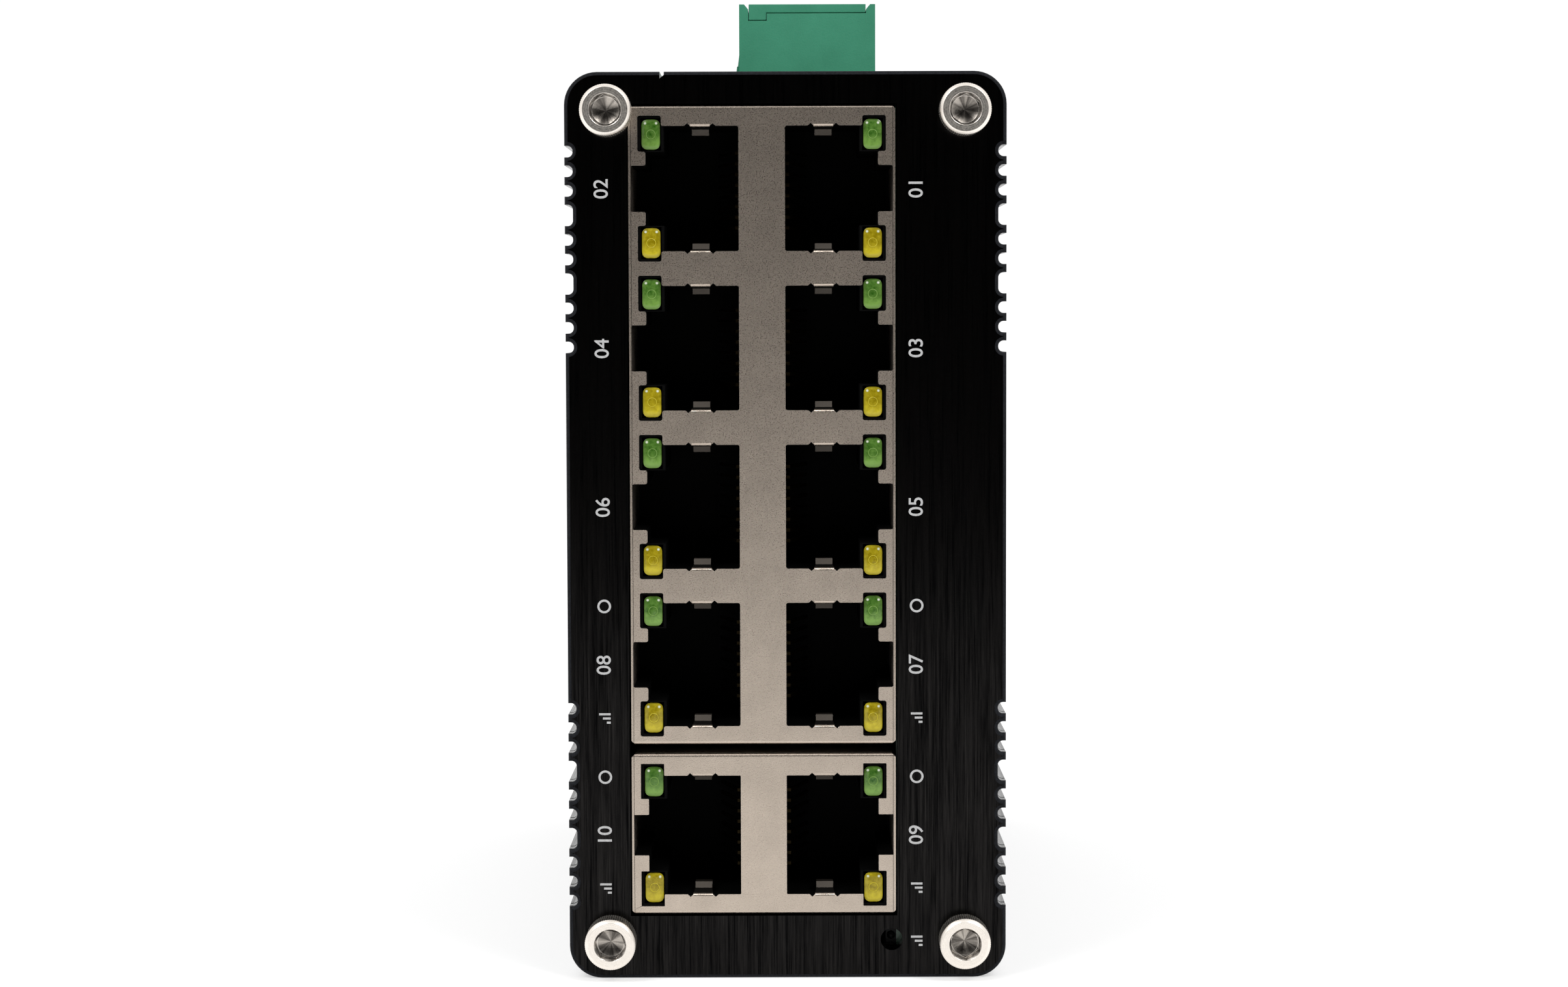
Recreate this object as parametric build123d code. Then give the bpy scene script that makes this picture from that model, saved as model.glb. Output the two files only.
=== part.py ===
"""Industrial ethernet switch: a slim black case with ten network ports and a pull-off supply plug.

Millimetres, +Z up. The front with the ports faces -Y and the rail clip faces +Y. The origin is the
centre of the case's bottom face, on which the switch stands.
"""

import math
import os

from build123d import *

# Case: one length of extrusion closed by a plate at each end. Its size follows from what it holds.
case_corner_radius = 3.1
side_wall = 2.2
end_wall = 1.8
front_plate_thickness = 2.0
rear_plate_thickness = 2.0

# Cooling grooves down both sides, in a lower and an upper group
groove_margin = 6.9
groove_depth = 0.77
groove_corner_radius = 0.5
narrow_groove = 1.08
wide_groove = 2.0
groove_tooth = 0.76
groove_pattern = "nnnwnnwnnn"

# Index groove along the top of the profile
index_groove_inset = 9.2
index_groove_width = 0.4
index_groove_depth = 0.65

# Case screws in the four corners
screw_inset_x = 4.0
screw_inset_z = 3.7
screw_thread_radius = 1.5
screw_play = 0.05
screw_length = 10.0
screw_head_radius = 2.42
screw_head_height = 2.6
screw_head_bevel = 0.25
screw_socket_width = 2.5
screw_socket_depth = 1.3
screw_socket_bevel = 0.35
screw_drill_depth = 0.3
plate_hole_play = 0.15
channel_wall = 0.4
channel_height = 2.6
channel_mouth = 1.4

# Stacked jacks: a block of eight ports above a block of two, both on the upright board
jack_screw_gap = 0.51
jack_right_margin = 10.49
jack_top_margin = 3.15
jack_width = 25.1
jack_depth = 25.4
jack_sheet = 0.2
jack_recess = 0.1
jack_fold_radius = 0.3
jack_corner_cut = 0.35
jack_floor_rim = 2.0
jack_play = 0.05
port_pitch = 15.0
row_margin_low = 7.6
row_margin_high = 7.8
lower_jack_bottom = 6.15
upper_jack_rows = 4
lower_jack_rows = 1
jack_gap = 0.9
window_play = 0.15

# One port, measured outwards from the stack's centre line, in from the stack's side where a value
# is called an inset, and up and down from the row's centre
port_bar = 2.18
port_lamp_side_inset = 3.09
port_lamp_reach_inset = 0.87
port_lamp_low = 3.47
port_lamp_high = 6.84
port_tab_inset = 1.62
port_cavity_inset = 3.35
port_cavity_step = 0.15
port_cavity_depth = 13.4
upper_port_height = 11.75
upper_latch_height = 4.35
upper_port_radius = 0.2
lower_port_height = 11.4
lower_latch_height = 3.9
lower_port_radius = 0.08

# Earthing fingers of the jack shields
finger_offset = 5.8
finger_width = 1.85
finger_tip_width = 1.6
finger_length = 5.0
finger_lip = 0.12
finger_bend = 0.3
finger_slope = 0.12
finger_bow = 0.65
finger_bow_start = 2.2
finger_bow_rise = 0.35
finger_bow_length = 1.1
finger_tip_lift = 0.35
finger_notch_width = 0.55
finger_notch_depth = 0.25

# Contact wires of a port
contact_count = 8
contact_pitch = 1.02
contact_wire = 0.3
contact_start = 4.8
contact_reach = 10.3
contact_lift = 4.3
contact_fold = 0.8
contact_bend = 0.1

# Port lamps
lamp_inset = 2.12
lamp_height_offset = 5.09
lamp_width = 1.75
lamp_height = 2.84
lamp_corner_radius = 0.5
lamp_recess = 0.4
lamp_depth = 6.0
lamp_play = 0.1

# Main board, upright in two pairs of ribs
board_thickness = 1.6
board_play = 0.1
board_end_play = 0.2
rib_thickness = 1.0
rib_height = 1.1

# Supply lamp, a chip lamp that looks out through the front plate
supply_lamp_size = 1.0
supply_lamp_width = 1.4
supply_lamp_depth = 2.0
supply_lamp_dome = 0.4
supply_lamp_hole_radius = 1.05
supply_lamp_z = 3.7

# Parts soldered to the board, from the front to the rear: the transformers behind the jacks, the
# switch chip under its cooler, then the supply parts. Lengths lie in Y, heights in Z, and a rise is
# off the board.
supply_zone_length = 33.0
switch_chip_z = 46.0
switch_chip_size = 20.0
switch_chip_rise = 1.6
heat_sink_gap = 0.25
heat_sink_size = 24.0
heat_sink_base = 2.0
heat_sink_rise = 9.0
heat_sink_fins = 7
heat_sink_fin = 1.2
transformer_gap = 3.75
transformer_length = 9.5
transformer_height = 12.4
transformer_rise = 6.0
poe_chip_setback = 6.0
poe_chip_heights = (67.0, 24.0)
poe_chip_size = 9.0
poe_chip_rise = 1.0
capacitor_inset = 13.0
capacitor_heights = (66.0, 54.0)
capacitor_radius = 5.0
capacitor_length = 16.0
capacitor_crimp = 0.5
inductor_inset = 14.0
inductor_z = 38.0
inductor_size = 12.0
inductor_rise = 7.0
inductor_corner_cut = 2.5
transistor_count = 3
transistor_inset = 5.0
transistor_pitch = 9.0
transistor_z = 14.0
transistor_size = (6.5, 9.5, 2.3)
clock_setback = 7.0
crystal_z = 52.0
crystal_size = (4.6, 11.0, 3.6)
memory_z = 38.0
memory_size = (5.0, 6.0, 1.6)

# Supply header on the board, its mouth flush with the top of the case
pole_count = 3
pole_pitch = 5.08
header_gap = 11.0
header_height = 8.6
header_end = 1.25
header_length = 12.0
header_wall = 1.0
header_floor = 3.5
header_play = 0.3
pin_width = 1.0
pin_tip = 1.4
pin_play = 0.06
pin_tail = 1.2
pin_elbow_drop = 0.7
pin_elbow_play = 0.1
pin_hole_radius = 0.85
key_width = 1.6
key_height = 0.7
key_play = 0.2
key_length = 5.0

# Pull-off plug
plug_width = 15.0
plug_height = 11.2
plug_board_gap = 0.5
plug_seat_gap = 0.1
plug_play = 0.15
tongue_length = 6.5
plug_floor = 2.6
lid_thickness = 0.95
lid_play = 0.05
lid_inset = 1.05
lid_hook_width = 1.95
lid_hook_depth = 0.8
notch_depth = 0.6
notch_width = 0.5
grip_lip = 0.4
grip_height = 3.2
grip_taper = 3.4
grip_inset = 0.8

# Wire clamps in the plug
clamp_wall = 1.2
cage_width = 4.0
cage_height = 5.5
cage_side = 0.5
cage_play = 0.1
cage_travel = 2.4
wire_gap = 2.8
bar_thickness = 0.8
bar_width = 2.4
bar_offset = 2.9
bar_rise = 0.4
fork_leaf = 0.4
fork_play = 0.03
fork_length = 7.0
clamp_screw_radius = 1.25
clamp_screw_play = 0.05
clamp_head_radius = 1.9
clamp_head_height = 1.5
clamp_recess_play = 0.1
clamp_seat = 1.0
clamp_slot_width = 0.6
clamp_slot_depth = 0.7
entry_height = 3.8
entry_bevel = 0.4

# Rail clip of folded sheet on the rear plate, for a 35 mm rail
rail_height = 35.0
rail_lip_gap = 1.4
clip_sheet = 1.5
clip_width = 26.0
clip_centre_z = 43.0
clip_slack = 0.2
clip_hook = 2.0
clip_slot_width = 9.0
clip_bend_radius = 1.4
spring_wire = 1.2
spring_sag = 2.0
spring_inset = 1.5
clip_screw_radius = 1.5
clip_screw_length = 4.5
clip_head_radius = 2.8
clip_head_depth = 1.3
clip_cross_width = 2.6
clip_cross_slot = 0.5
clip_screw_spread = 8.0
clip_screw_up = 12.0
clip_screw_down = 10.0

# Places worked out from the sizes above
row_margins = row_margin_low + row_margin_high
upper_jack_bottom = lower_jack_bottom + row_margins + (lower_jack_rows - 1) * port_pitch + jack_gap
upper_jack_top = upper_jack_bottom + row_margins + (upper_jack_rows - 1) * port_pitch
jack_left_margin = screw_inset_x + screw_thread_radius + jack_screw_gap
case_height = upper_jack_top + jack_top_margin
case_width = jack_left_margin + jack_width + jack_right_margin
stack_x = jack_left_margin + jack_width / 2 - case_width / 2
index_groove_x = index_groove_inset - case_width / 2
jack_zone_length = jack_recess + jack_depth - front_plate_thickness
chip_zone_length = transformer_gap + transformer_length + heat_sink_gap + heat_sink_size
extrusion_length = jack_zone_length + chip_zone_length + supply_zone_length
body_front_y = -extrusion_length / 2
body_rear_y = extrusion_length / 2
front_face_y = body_front_y - front_plate_thickness
rear_face_y = body_rear_y + rear_plate_thickness
screw_x = case_width / 2 - screw_inset_x
screw_low_z = screw_inset_z
screw_high_z = case_height - screw_inset_z
screw_bore_radius = screw_thread_radius + screw_play
jack_front_y = front_face_y + jack_recess
jack_left_x = stack_x - jack_width / 2
jack_right_x = stack_x + jack_width / 2
port_lamp_side = jack_width / 2 - port_lamp_side_inset
port_lamp_reach = jack_width / 2 - port_lamp_reach_inset
port_tab = jack_width / 2 - port_tab_inset
port_cavity_outer = jack_width / 2 - port_cavity_inset
lamp_offset = jack_width / 2 - lamp_inset
board_face_x = jack_right_x + board_play
board_back_x = board_face_x + board_thickness
board_front_y = body_front_y + board_end_play
transformer_y = jack_front_y + jack_depth + transformer_gap + transformer_length / 2
transformer_rear_y = transformer_y + transformer_length / 2
switch_chip_y = transformer_rear_y + heat_sink_gap + heat_sink_size / 2
clock_y = switch_chip_y + heat_sink_size / 2 + clock_setback
poe_chip_y = switch_chip_y - poe_chip_setback
capacitor_y = body_rear_y - capacitor_inset
inductor_y = body_rear_y - inductor_inset
terminal_length = pole_count * pole_pitch
terminal_front_y = transformer_rear_y + header_gap + header_end
terminal_rear_y = terminal_front_y + terminal_length
header_left_x = board_face_x - header_height
header_low_z = case_height - header_length
pin_x = (header_left_x + board_face_x) / 2
plug_right_x = board_face_x - plug_board_gap
plug_left_x = plug_right_x - plug_width
plug_low_z = case_height + plug_seat_gap
plug_high_z = plug_low_z + plug_height
fork_half = pin_width / 2 + fork_play + fork_leaf


def span(x0, x1, z0, z1):
    """Rectangle between two opposite corners."""
    return Pos((x0 + x1) / 2, (z0 + z1) / 2) * Rectangle(abs(x1 - x0), abs(z1 - z0))


def block(x0, x1, y0, y1, z0, z1):
    """Box between two opposite corners."""
    return Pos((x0 + x1) / 2, (y0 + y1) / 2, (z0 + z1) / 2) * Box(abs(x1 - x0), abs(y1 - y0), abs(z1 - z0))


def outline(*points):
    """Closed face through points in order."""
    return make_face(Polyline(*points, close=True))


def backwards(section, start, length):
    """Extrude a section drawn in X and Z from y = start towards +Y."""
    return extrude(Plane.XZ.offset(-start) * section, amount=-length)


def rightwards(section, start, length):
    """Extrude a section drawn in Y and Z from x = start towards +X."""
    return extrude(Plane.YZ.offset(start) * section, amount=length)


def facing_front(shape):
    """Turn a turned piece made along +Z so that it points at -Y."""
    return Rot(X=90) * shape


def facing_rear(shape):
    """Turn a turned piece made along +Z so that it points at +Y."""
    return Rot(X=-90) * shape


def group(solids):
    """Several separate solids that share one node."""
    return Compound(children=[solid for shape in solids for solid in shape.solids()])


# Case


def groove_rows():
    """Width and height of each side groove, for the lower group and its mirror image above."""
    rows = []
    z = groove_margin
    for kind in groove_pattern:
        width = narrow_groove if kind == "n" else wide_groove
        rows.append((width, z + width / 2))
        z += width + groove_tooth
    return rows + [(width, case_height - z) for width, z in rows]


def index_groove():
    """Small groove with one upright wall, drawn along the top to mark the profile's upper left."""
    left = index_groove_x - index_groove_width / 2
    right = index_groove_x + index_groove_width / 2
    return outline(
        (left, case_height),
        (left, case_height - index_groove_depth),
        (right, case_height - index_groove_depth / 2),
        (right, case_height),
    )


def case_section():
    """Outside of the case seen from the front, with its side grooves and its index groove."""
    section = Pos(0, case_height / 2) * RectangleRounded(case_width, case_height, case_corner_radius)
    grooves = [
        Pos(side * case_width / 2, z) * RectangleRounded(2 * groove_depth, width, groove_corner_radius)
        for width, z in groove_rows()
        for side in (-1, 1)
    ]
    return section - grooves - index_groove()


def corners():
    """Screw centres, as side and height."""
    return [(side * screw_x, z) for side in (-1, 1) for z in (screw_low_z, screw_high_z)]


def screw_channels():
    """Corner pads that take the case screws, and the open bores to cut from them."""
    pads, bores = [], []
    reach = screw_bore_radius + channel_wall
    for x, z in corners():
        side = math.copysign(1, x)
        wall_x = side * (case_width - side_wall) / 2
        wall_z = end_wall / 2 if z < case_height / 2 else case_height - end_wall / 2
        tip_z = z + channel_height if z < case_height / 2 else z - channel_height
        pads.append(span(wall_x, x - side * reach, wall_z, tip_z))
        bores.append(Pos(x, z) * Circle(screw_bore_radius))
        bores.append(span(x, x - side * (reach + 1), z - channel_mouth / 2, z + channel_mouth / 2))
    return pads, bores


def board_ribs():
    """Two pairs of ribs that hold the board upright along its lower and upper edges."""
    ribs = []
    for root, tip in (
        (end_wall / 2, end_wall + rib_height),
        (case_height - end_wall / 2, case_height - end_wall - rib_height),
    ):
        ribs.append(span(board_face_x - board_play - rib_thickness, board_face_x - board_play, root, tip))
        ribs.append(span(board_back_x + board_play, board_back_x + board_play + rib_thickness, root, tip))
    return ribs


def housing_extrusion():
    hollow = span(-case_width / 2 + side_wall, case_width / 2 - side_wall, end_wall, case_height - end_wall)
    pads, bores = screw_channels()
    section = case_section() - hollow + pads + board_ribs() - bores
    body = backwards(section, body_front_y, extrusion_length)
    mouth = block(
        header_left_x - header_play,
        board_face_x + header_play,
        terminal_front_y - header_end - header_play,
        terminal_rear_y + header_end + header_play,
        case_height - end_wall - rib_height - 1,
        case_height + 1,
    )
    return body - mouth


def front_plate():
    window = span(
        jack_left_x - window_play,
        jack_right_x + window_play,
        lower_jack_bottom - window_play,
        upper_jack_bottom + jack_height(upper_jack_rows) + window_play,
    )
    holes = [Pos(x, z) * Circle(screw_thread_radius + plate_hole_play) for x, z in corners()]
    lamp_hole = Pos(board_face_x - supply_lamp_size / 2, supply_lamp_z) * Circle(supply_lamp_hole_radius)
    return backwards(case_section() - window - holes - lamp_hole, front_face_y, front_plate_thickness)


def rear_plate():
    holes = [Pos(x, z) * Circle(screw_thread_radius + plate_hole_play) for x, z in corners()]
    taps = [Pos(x, z) * Circle(clip_screw_radius + screw_play) for x, z in clip_screw_places()]
    return backwards(case_section() - holes - taps, body_rear_y, rear_plate_thickness)


def case_screw(plate):
    """Low socket head screw along Z, its seat at z = 0 and its head above."""
    head = Pos(0, 0, screw_head_height / 2) * Cylinder(screw_head_radius, screw_head_height)
    head = chamfer(head.edges().sort_by(Axis.Z)[-1], screw_head_bevel)
    shank_length = screw_length + plate
    shank = Pos(0, 0, -shank_length / 2) * Cylinder(screw_thread_radius, shank_length)
    socket_z = screw_head_height - screw_socket_depth
    socket_radius = screw_socket_width / 2
    hexagon = RegularPolygon(socket_radius, 6, major_radius=False)
    socket = extrude(Pos(0, 0, socket_z) * hexagon, amount=screw_socket_depth + 1)
    drill = Pos(0, 0, socket_z) * Cone(0, 2 * socket_radius, 2 * screw_drill_depth)
    drill = drill & Pos(0, 0, socket_z) * Cylinder(socket_radius - 0.01, 4 * screw_drill_depth)
    mouth_radius = socket_radius + screw_socket_bevel
    mouth = Pos(0, 0, screw_head_height) * Cone(socket_radius, mouth_radius, screw_socket_bevel)
    return head + shank - socket - drill - mouth


def front_plate_screws():
    screw = facing_front(case_screw(front_plate_thickness))
    return group(Pos(x, front_face_y, z) * screw for x, z in corners())


def rear_plate_screws():
    screw = facing_rear(case_screw(rear_plate_thickness))
    return group(Pos(x, rear_face_y, z) * screw for x, z in corners())


# Jacks


def jack_height(rows):
    """Height of a jack block with that many rows."""
    return row_margin_low + row_margin_high + (rows - 1) * port_pitch


def port_rows(bottom, rows):
    """Heights of a block's row centres."""
    return [bottom + row_margin_low + row * port_pitch for row in range(rows)]


def port_step(side, inner, outer, z, half_height):
    """Rectangle on one side of the stack's centre line, as far above a row's centre as below it."""
    return span(stack_x + side * inner, stack_x + side * outer, z - half_height, z + half_height)


def port_window(side, z, height, latch, radius):
    """Opening of one port in the shield, on the left (-1) or right (1) of the stack's centre line."""
    reach = jack_width / 2 - jack_sheet
    window = port_step(side, port_bar, port_lamp_side, z, height / 2)
    window += port_step(side, port_lamp_side, port_lamp_reach, z, port_lamp_high)
    for end in (-1, 1):
        tab_low, tab_high = sorted((end * latch / 2, end * port_lamp_low))
        window -= span(stack_x + side * port_tab, stack_x + side * reach, z + tab_low, z + tab_high)
    window += port_step(side, port_tab, reach, z, latch / 2)
    window = fillet(window.vertices(), radius)
    notches = []
    for end in (-1, 1):
        edge = z + end * height / 2
        for x in (-1, 1):
            start = finger_offset + x * finger_width / 2
            tip = start + x * finger_notch_width / 2
            stop = start + x * finger_notch_width
            notches.append(
                outline(
                    (stack_x + side * start, edge - end * jack_sheet),
                    (stack_x + side * start, edge),
                    (stack_x + side * tip, edge + end * finger_notch_depth),
                    (stack_x + side * stop, edge),
                    (stack_x + side * stop, edge - end * jack_sheet),
                )
            )
        centre = stack_x + side * finger_offset
        low, high = sorted((edge - end * jack_sheet, edge + end * (finger_bend - finger_lip)))
        notches.append(span(centre - finger_width / 2, centre + finger_width / 2, low, high))
    return window + notches


def earthing_finger():
    """Finger bent in at a window's upper edge and bowed down, centred on x = 0 with the edge at z = 0."""
    fold = finger_bend - finger_lip
    crest = finger_lip + finger_bow
    bowed = finger_bow_start + finger_bow_rise
    inner = [
        (finger_bend, -finger_lip),
        (finger_bow_start, -finger_lip - finger_slope),
        (bowed, -crest),
        (bowed + finger_bow_length, -crest),
        (finger_length, finger_tip_lift - crest),
    ]
    outer = [(depth, height + jack_sheet) for depth, height in reversed(inner)]
    middle = finger_bend * (1 - math.sqrt(0.5))
    bend = ThreePointArc((0, fold), (middle, middle - finger_lip), (finger_bend, -finger_lip))
    side_view = make_face(Polyline(*inner, *outer, (jack_sheet, fold), (0, fold)) + bend)
    root, tip = finger_width / 2, finger_tip_width / 2
    top_view = outline(
        (-root, 0),
        (root, 0),
        (root, finger_bend),
        (tip, finger_bow_start),
        (tip, finger_length),
        (-tip, finger_length),
        (-tip, finger_bow_start),
        (-root, finger_bend),
    )
    finger = rightwards(side_view, -root, finger_width) & extrude(top_view, amount=finger_length, both=True)
    return Pos(0, jack_front_y, 0) * finger


def jack_shield(bottom, rows, height, latch, radius):
    """Nickel-plated sheet shell round a jack block, with its windows and earthing fingers."""
    top = bottom + jack_height(rows)
    rear = jack_front_y + jack_depth
    shell = block(jack_left_x, jack_right_x, jack_front_y, rear, bottom, top)
    long_edges = shell.edges().filter_by(Axis.Y)
    shell = chamfer(long_edges, jack_corner_cut)
    shell = fillet(shell.faces().sort_by(Axis.Y)[0].edges().filter_by(Axis.X), jack_fold_radius)
    inside = block(
        jack_left_x + jack_sheet,
        jack_right_x - jack_sheet,
        jack_front_y + jack_sheet,
        rear - jack_sheet,
        bottom + jack_sheet,
        top - jack_sheet,
    )
    inside = chamfer(inside.edges().filter_by(Axis.Y), jack_corner_cut)
    floor_opening = block(
        jack_right_x - jack_sheet - 0.5,
        jack_right_x + 0.5,
        jack_front_y + port_cavity_depth,
        rear - jack_floor_rim,
        bottom + jack_floor_rim,
        top - jack_floor_rim,
    )
    shell = shell - inside - floor_opening
    finger = earthing_finger()
    for z in port_rows(bottom, rows):
        for side in (-1, 1):
            window = port_window(side, z, height, latch, radius)
            shell -= backwards(window, jack_front_y - 1, 1 + 1.05 * jack_sheet)
            for end, turn in ((-1, 180), (1, 0)):
                place = Pos(stack_x + side * finger_offset, 0, z + end * height / 2)
                shell += place * Rot(Y=turn) * finger
    return shell


def jack_body(bottom, rows, height, latch):
    """Black moulding inside a shield, with the ports' cavities and the lamps' pockets."""
    skin = jack_sheet + jack_play
    top = bottom + jack_height(rows)
    front = jack_front_y + skin
    rear = jack_front_y + jack_depth - skin
    body = block(jack_left_x + skin, jack_right_x - skin, front, rear, bottom + skin, top - skin)
    body = chamfer(body.edges().filter_by(Axis.Y), jack_corner_cut)
    latch_reach = jack_width / 2 - jack_sheet
    cavity_half = height / 2 + port_cavity_step
    pocket_depth = lamp_recess + lamp_depth - jack_sheet
    for z in port_rows(bottom, rows):
        for side in (-1, 1):
            cavity = port_step(side, port_bar, port_cavity_outer, z, cavity_half)
            cavity += port_step(side, port_cavity_outer - 1, port_tab, z, port_lamp_low)
            cavity += port_step(side, port_tab - 1, latch_reach + jack_sheet, z, latch / 2)
            body -= backwards(cavity, front - 1, 1 + port_cavity_depth - skin)
            pockets = [
                Pos(stack_x + side * lamp_offset, z + end * lamp_height_offset)
                * Rectangle(lamp_width + 2 * lamp_play, lamp_height + 2 * lamp_play)
                for end in (-1, 1)
            ]
            for pocket in pockets:
                body -= backwards(pocket, jack_front_y - 1, 1 + jack_sheet + pocket_depth)
    return body


def contact_section(side):
    """One contact wire in X and Y about the stack's centre line: along the bar, then folded back."""
    base = port_bar + contact_wire
    start = contact_start
    points = [
        (port_bar, port_cavity_depth),
        (port_bar, start),
        (base + contact_bend, start),
        (contact_lift, contact_reach),
        (contact_lift - contact_wire, contact_reach + contact_bend),
        (base, start + contact_fold),
        (base, port_cavity_depth),
    ]
    return outline(*[(stack_x + side * u, jack_front_y + y) for u, y in points])


def jack_contacts(bottom, rows):
    wires = []
    for side in (-1, 1):
        wire = extrude(contact_section(side), amount=contact_wire / 2, both=True)
        for z in port_rows(bottom, rows):
            for place in range(contact_count):
                wires.append(Pos(0, 0, z + (place - (contact_count - 1) / 2) * contact_pitch) * wire)
    return group(wires)


def jack_lamps(bottom, rows, end):
    """Light guides at the upper (1) or lower (-1) end of each port."""
    lens = RectangleRounded(lamp_width, lamp_height, lamp_corner_radius)
    return group(
        backwards(
            Pos(stack_x + side * lamp_offset, z + end * lamp_height_offset) * lens,
            jack_front_y + lamp_recess,
            lamp_depth,
        )
        for z in port_rows(bottom, rows)
        for side in (-1, 1)
    )


# Board and what stands on it


def main_circuit_board():
    board = block(
        board_face_x,
        board_back_x,
        board_front_y,
        body_rear_y - board_end_play,
        end_wall + board_play,
        case_height - end_wall - board_play,
    )
    for y in pole_places():
        hole = Rot(Y=90) * Cylinder(pin_hole_radius, 2 * board_thickness)
        board -= Pos(board_back_x, y, tail_z()) * hole
    return board


def on_board(y, z, length, height, rise):
    """Box soldered to the board's face, centred at y and z."""
    return Pos(board_face_x - rise / 2, y, z) * Box(rise, length, height)


def power_lamp():
    front = board_front_y
    x = board_face_x - supply_lamp_size / 2
    body = block(
        board_face_x - supply_lamp_size,
        board_face_x,
        front,
        front + supply_lamp_depth,
        supply_lamp_z - supply_lamp_width / 2,
        supply_lamp_z + supply_lamp_width / 2,
    )
    return body + Pos(x, front, supply_lamp_z) * Sphere(supply_lamp_dome)


def switch_chip():
    return on_board(switch_chip_y, switch_chip_z, switch_chip_size, switch_chip_size, switch_chip_rise)


def switch_heat_sink():
    """Extruded cooler on the switch chip, its fins upright."""
    foot = board_face_x - switch_chip_rise
    base_centre = Pos(foot - heat_sink_base / 2, switch_chip_y, switch_chip_z)
    sink = base_centre * Box(heat_sink_base, heat_sink_size, heat_sink_size)
    pitch = (heat_sink_size - heat_sink_fin) / (heat_sink_fins - 1)
    for fin in range(heat_sink_fins):
        start = switch_chip_y - heat_sink_size / 2 + fin * pitch
        fin_centre = Pos(foot - heat_sink_rise / 2, start + heat_sink_fin / 2, switch_chip_z)
        sink += fin_centre * Box(heat_sink_rise, heat_sink_fin, heat_sink_size)
    return sink


def poe_controllers():
    size = (poe_chip_size, poe_chip_size, poe_chip_rise)
    return group(on_board(poe_chip_y, z, *size) for z in poe_chip_heights)


def line_transformers():
    """One transformer module behind each pair of ports."""
    rows = port_rows(lower_jack_bottom, lower_jack_rows) + port_rows(upper_jack_bottom, upper_jack_rows)
    size = (transformer_length, transformer_height, transformer_rise)
    return group(on_board(transformer_y, z, *size) for z in rows)


def storage_capacitors():
    """Two upright cans, each with its crimped groove."""
    can = Cylinder(capacitor_radius, capacitor_length, align=(Align.CENTER, Align.CENTER, Align.MIN))
    waist = capacitor_radius - capacitor_crimp
    crimp = Cylinder(capacitor_radius + 1, capacitor_crimp) - Cylinder(waist, capacitor_crimp)
    can -= Pos(0, 0, capacitor_radius / 2) * crimp
    return group(Pos(board_face_x, capacitor_y, z) * Rot(Y=-90) * can for z in capacitor_heights)


def power_inductor():
    body = on_board(inductor_y, inductor_z, inductor_size, inductor_size, inductor_rise)
    return chamfer(body.edges().filter_by(Axis.X), inductor_corner_cut)


def power_transistors():
    length, height, rise = transistor_size
    first = body_rear_y - transistor_inset
    places = [first - place * transistor_pitch for place in range(transistor_count)]
    return group(on_board(y, transistor_z, length, height, rise) for y in places)


def timing_crystal():
    length, height, rise = crystal_size
    body = on_board(clock_y, crystal_z, length, height, rise)
    return fillet(body.edges().filter_by(Axis.X), length / 2 - 0.1)


def memory_chip():
    length, height, rise = memory_size
    return on_board(clock_y, memory_z, length, height, rise)


# Supply header


def pole_places():
    """Y of each pole's centre."""
    return [terminal_front_y + (pole + 0.5) * pole_pitch for pole in range(pole_count)]


def tail_z():
    """Height of the pins' tails, which run through the board below the header."""
    return header_low_z - pin_elbow_drop


def power_header():
    low_y = terminal_front_y - header_end
    high_y = terminal_rear_y + header_end
    body = block(header_left_x, board_face_x, low_y, high_y, header_low_z, case_height)
    body -= block(
        header_left_x + header_wall,
        board_face_x - header_wall,
        low_y + header_wall,
        high_y - header_wall,
        header_low_z + header_floor,
        case_height + 1,
    )
    hole = pin_width / 2 + pin_play
    for y in pole_places():
        body -= block(pin_x - hole, pin_x + hole, y - hole, y + hole, header_low_z - 1, case_height)
        half_key = key_width / 2 + key_play
        body -= block(
            header_left_x - 1,
            header_left_x + header_wall,
            y - half_key,
            y + half_key,
            case_height - key_length - key_play,
            case_height + 1,
        )
    return body


def header_pins():
    """Bent square pins, from the plug's fork through the header and across into the board."""
    half = pin_width / 2
    tail = tail_z()
    section = outline(
        (pin_x - half, tail - half),
        (board_back_x + pin_tail, tail - half),
        (board_back_x + pin_tail, tail + half - pin_elbow_play),
        (pin_x + half, tail + half - pin_elbow_play),
        (pin_x + half, case_height - pin_tip),
        (pin_x - half, case_height - pin_tip),
    )
    return group(backwards(section, y - half, pin_width) for y in pole_places())


# Plug. Its chambers open upwards under the lid, and each holds a clamp cage round a contact bar.

bar_left_x = pin_x - bar_offset
bar_right_x = bar_left_x + bar_thickness
cage_left_x = bar_left_x - cage_play - clamp_wall
cage_right_x = bar_right_x + wire_gap + clamp_wall
chamber_left_x = cage_left_x - cage_travel - cage_play
chamber_right_x = cage_right_x + cage_play
chamber_low_z = plug_low_z + plug_floor
cage_low_z = chamber_low_z + cage_play
clamp_axis_z = cage_low_z + cage_height / 2
clamp_seat_x = chamber_left_x - clamp_seat
entry_x = bar_right_x + wire_gap / 2


def plug_outline():
    """End view of the plug's block, with the notch beside each upper edge and the pry lip at the left."""
    left, right, low, high = plug_left_x, plug_right_x, plug_low_z, plug_high_z
    return outline(
        (left - grip_lip, low),
        (right, low),
        (right, high),
        (right - lid_inset + notch_width, high),
        (right - lid_inset, high - notch_depth),
        (right - lid_inset - notch_width, high),
        (left + lid_inset + notch_width, high),
        (left + lid_inset, high - notch_depth),
        (left + lid_inset - notch_width, high),
        (left, high),
        (left, low + grip_height + grip_taper),
        (left - grip_lip, low + grip_height),
    )


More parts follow.
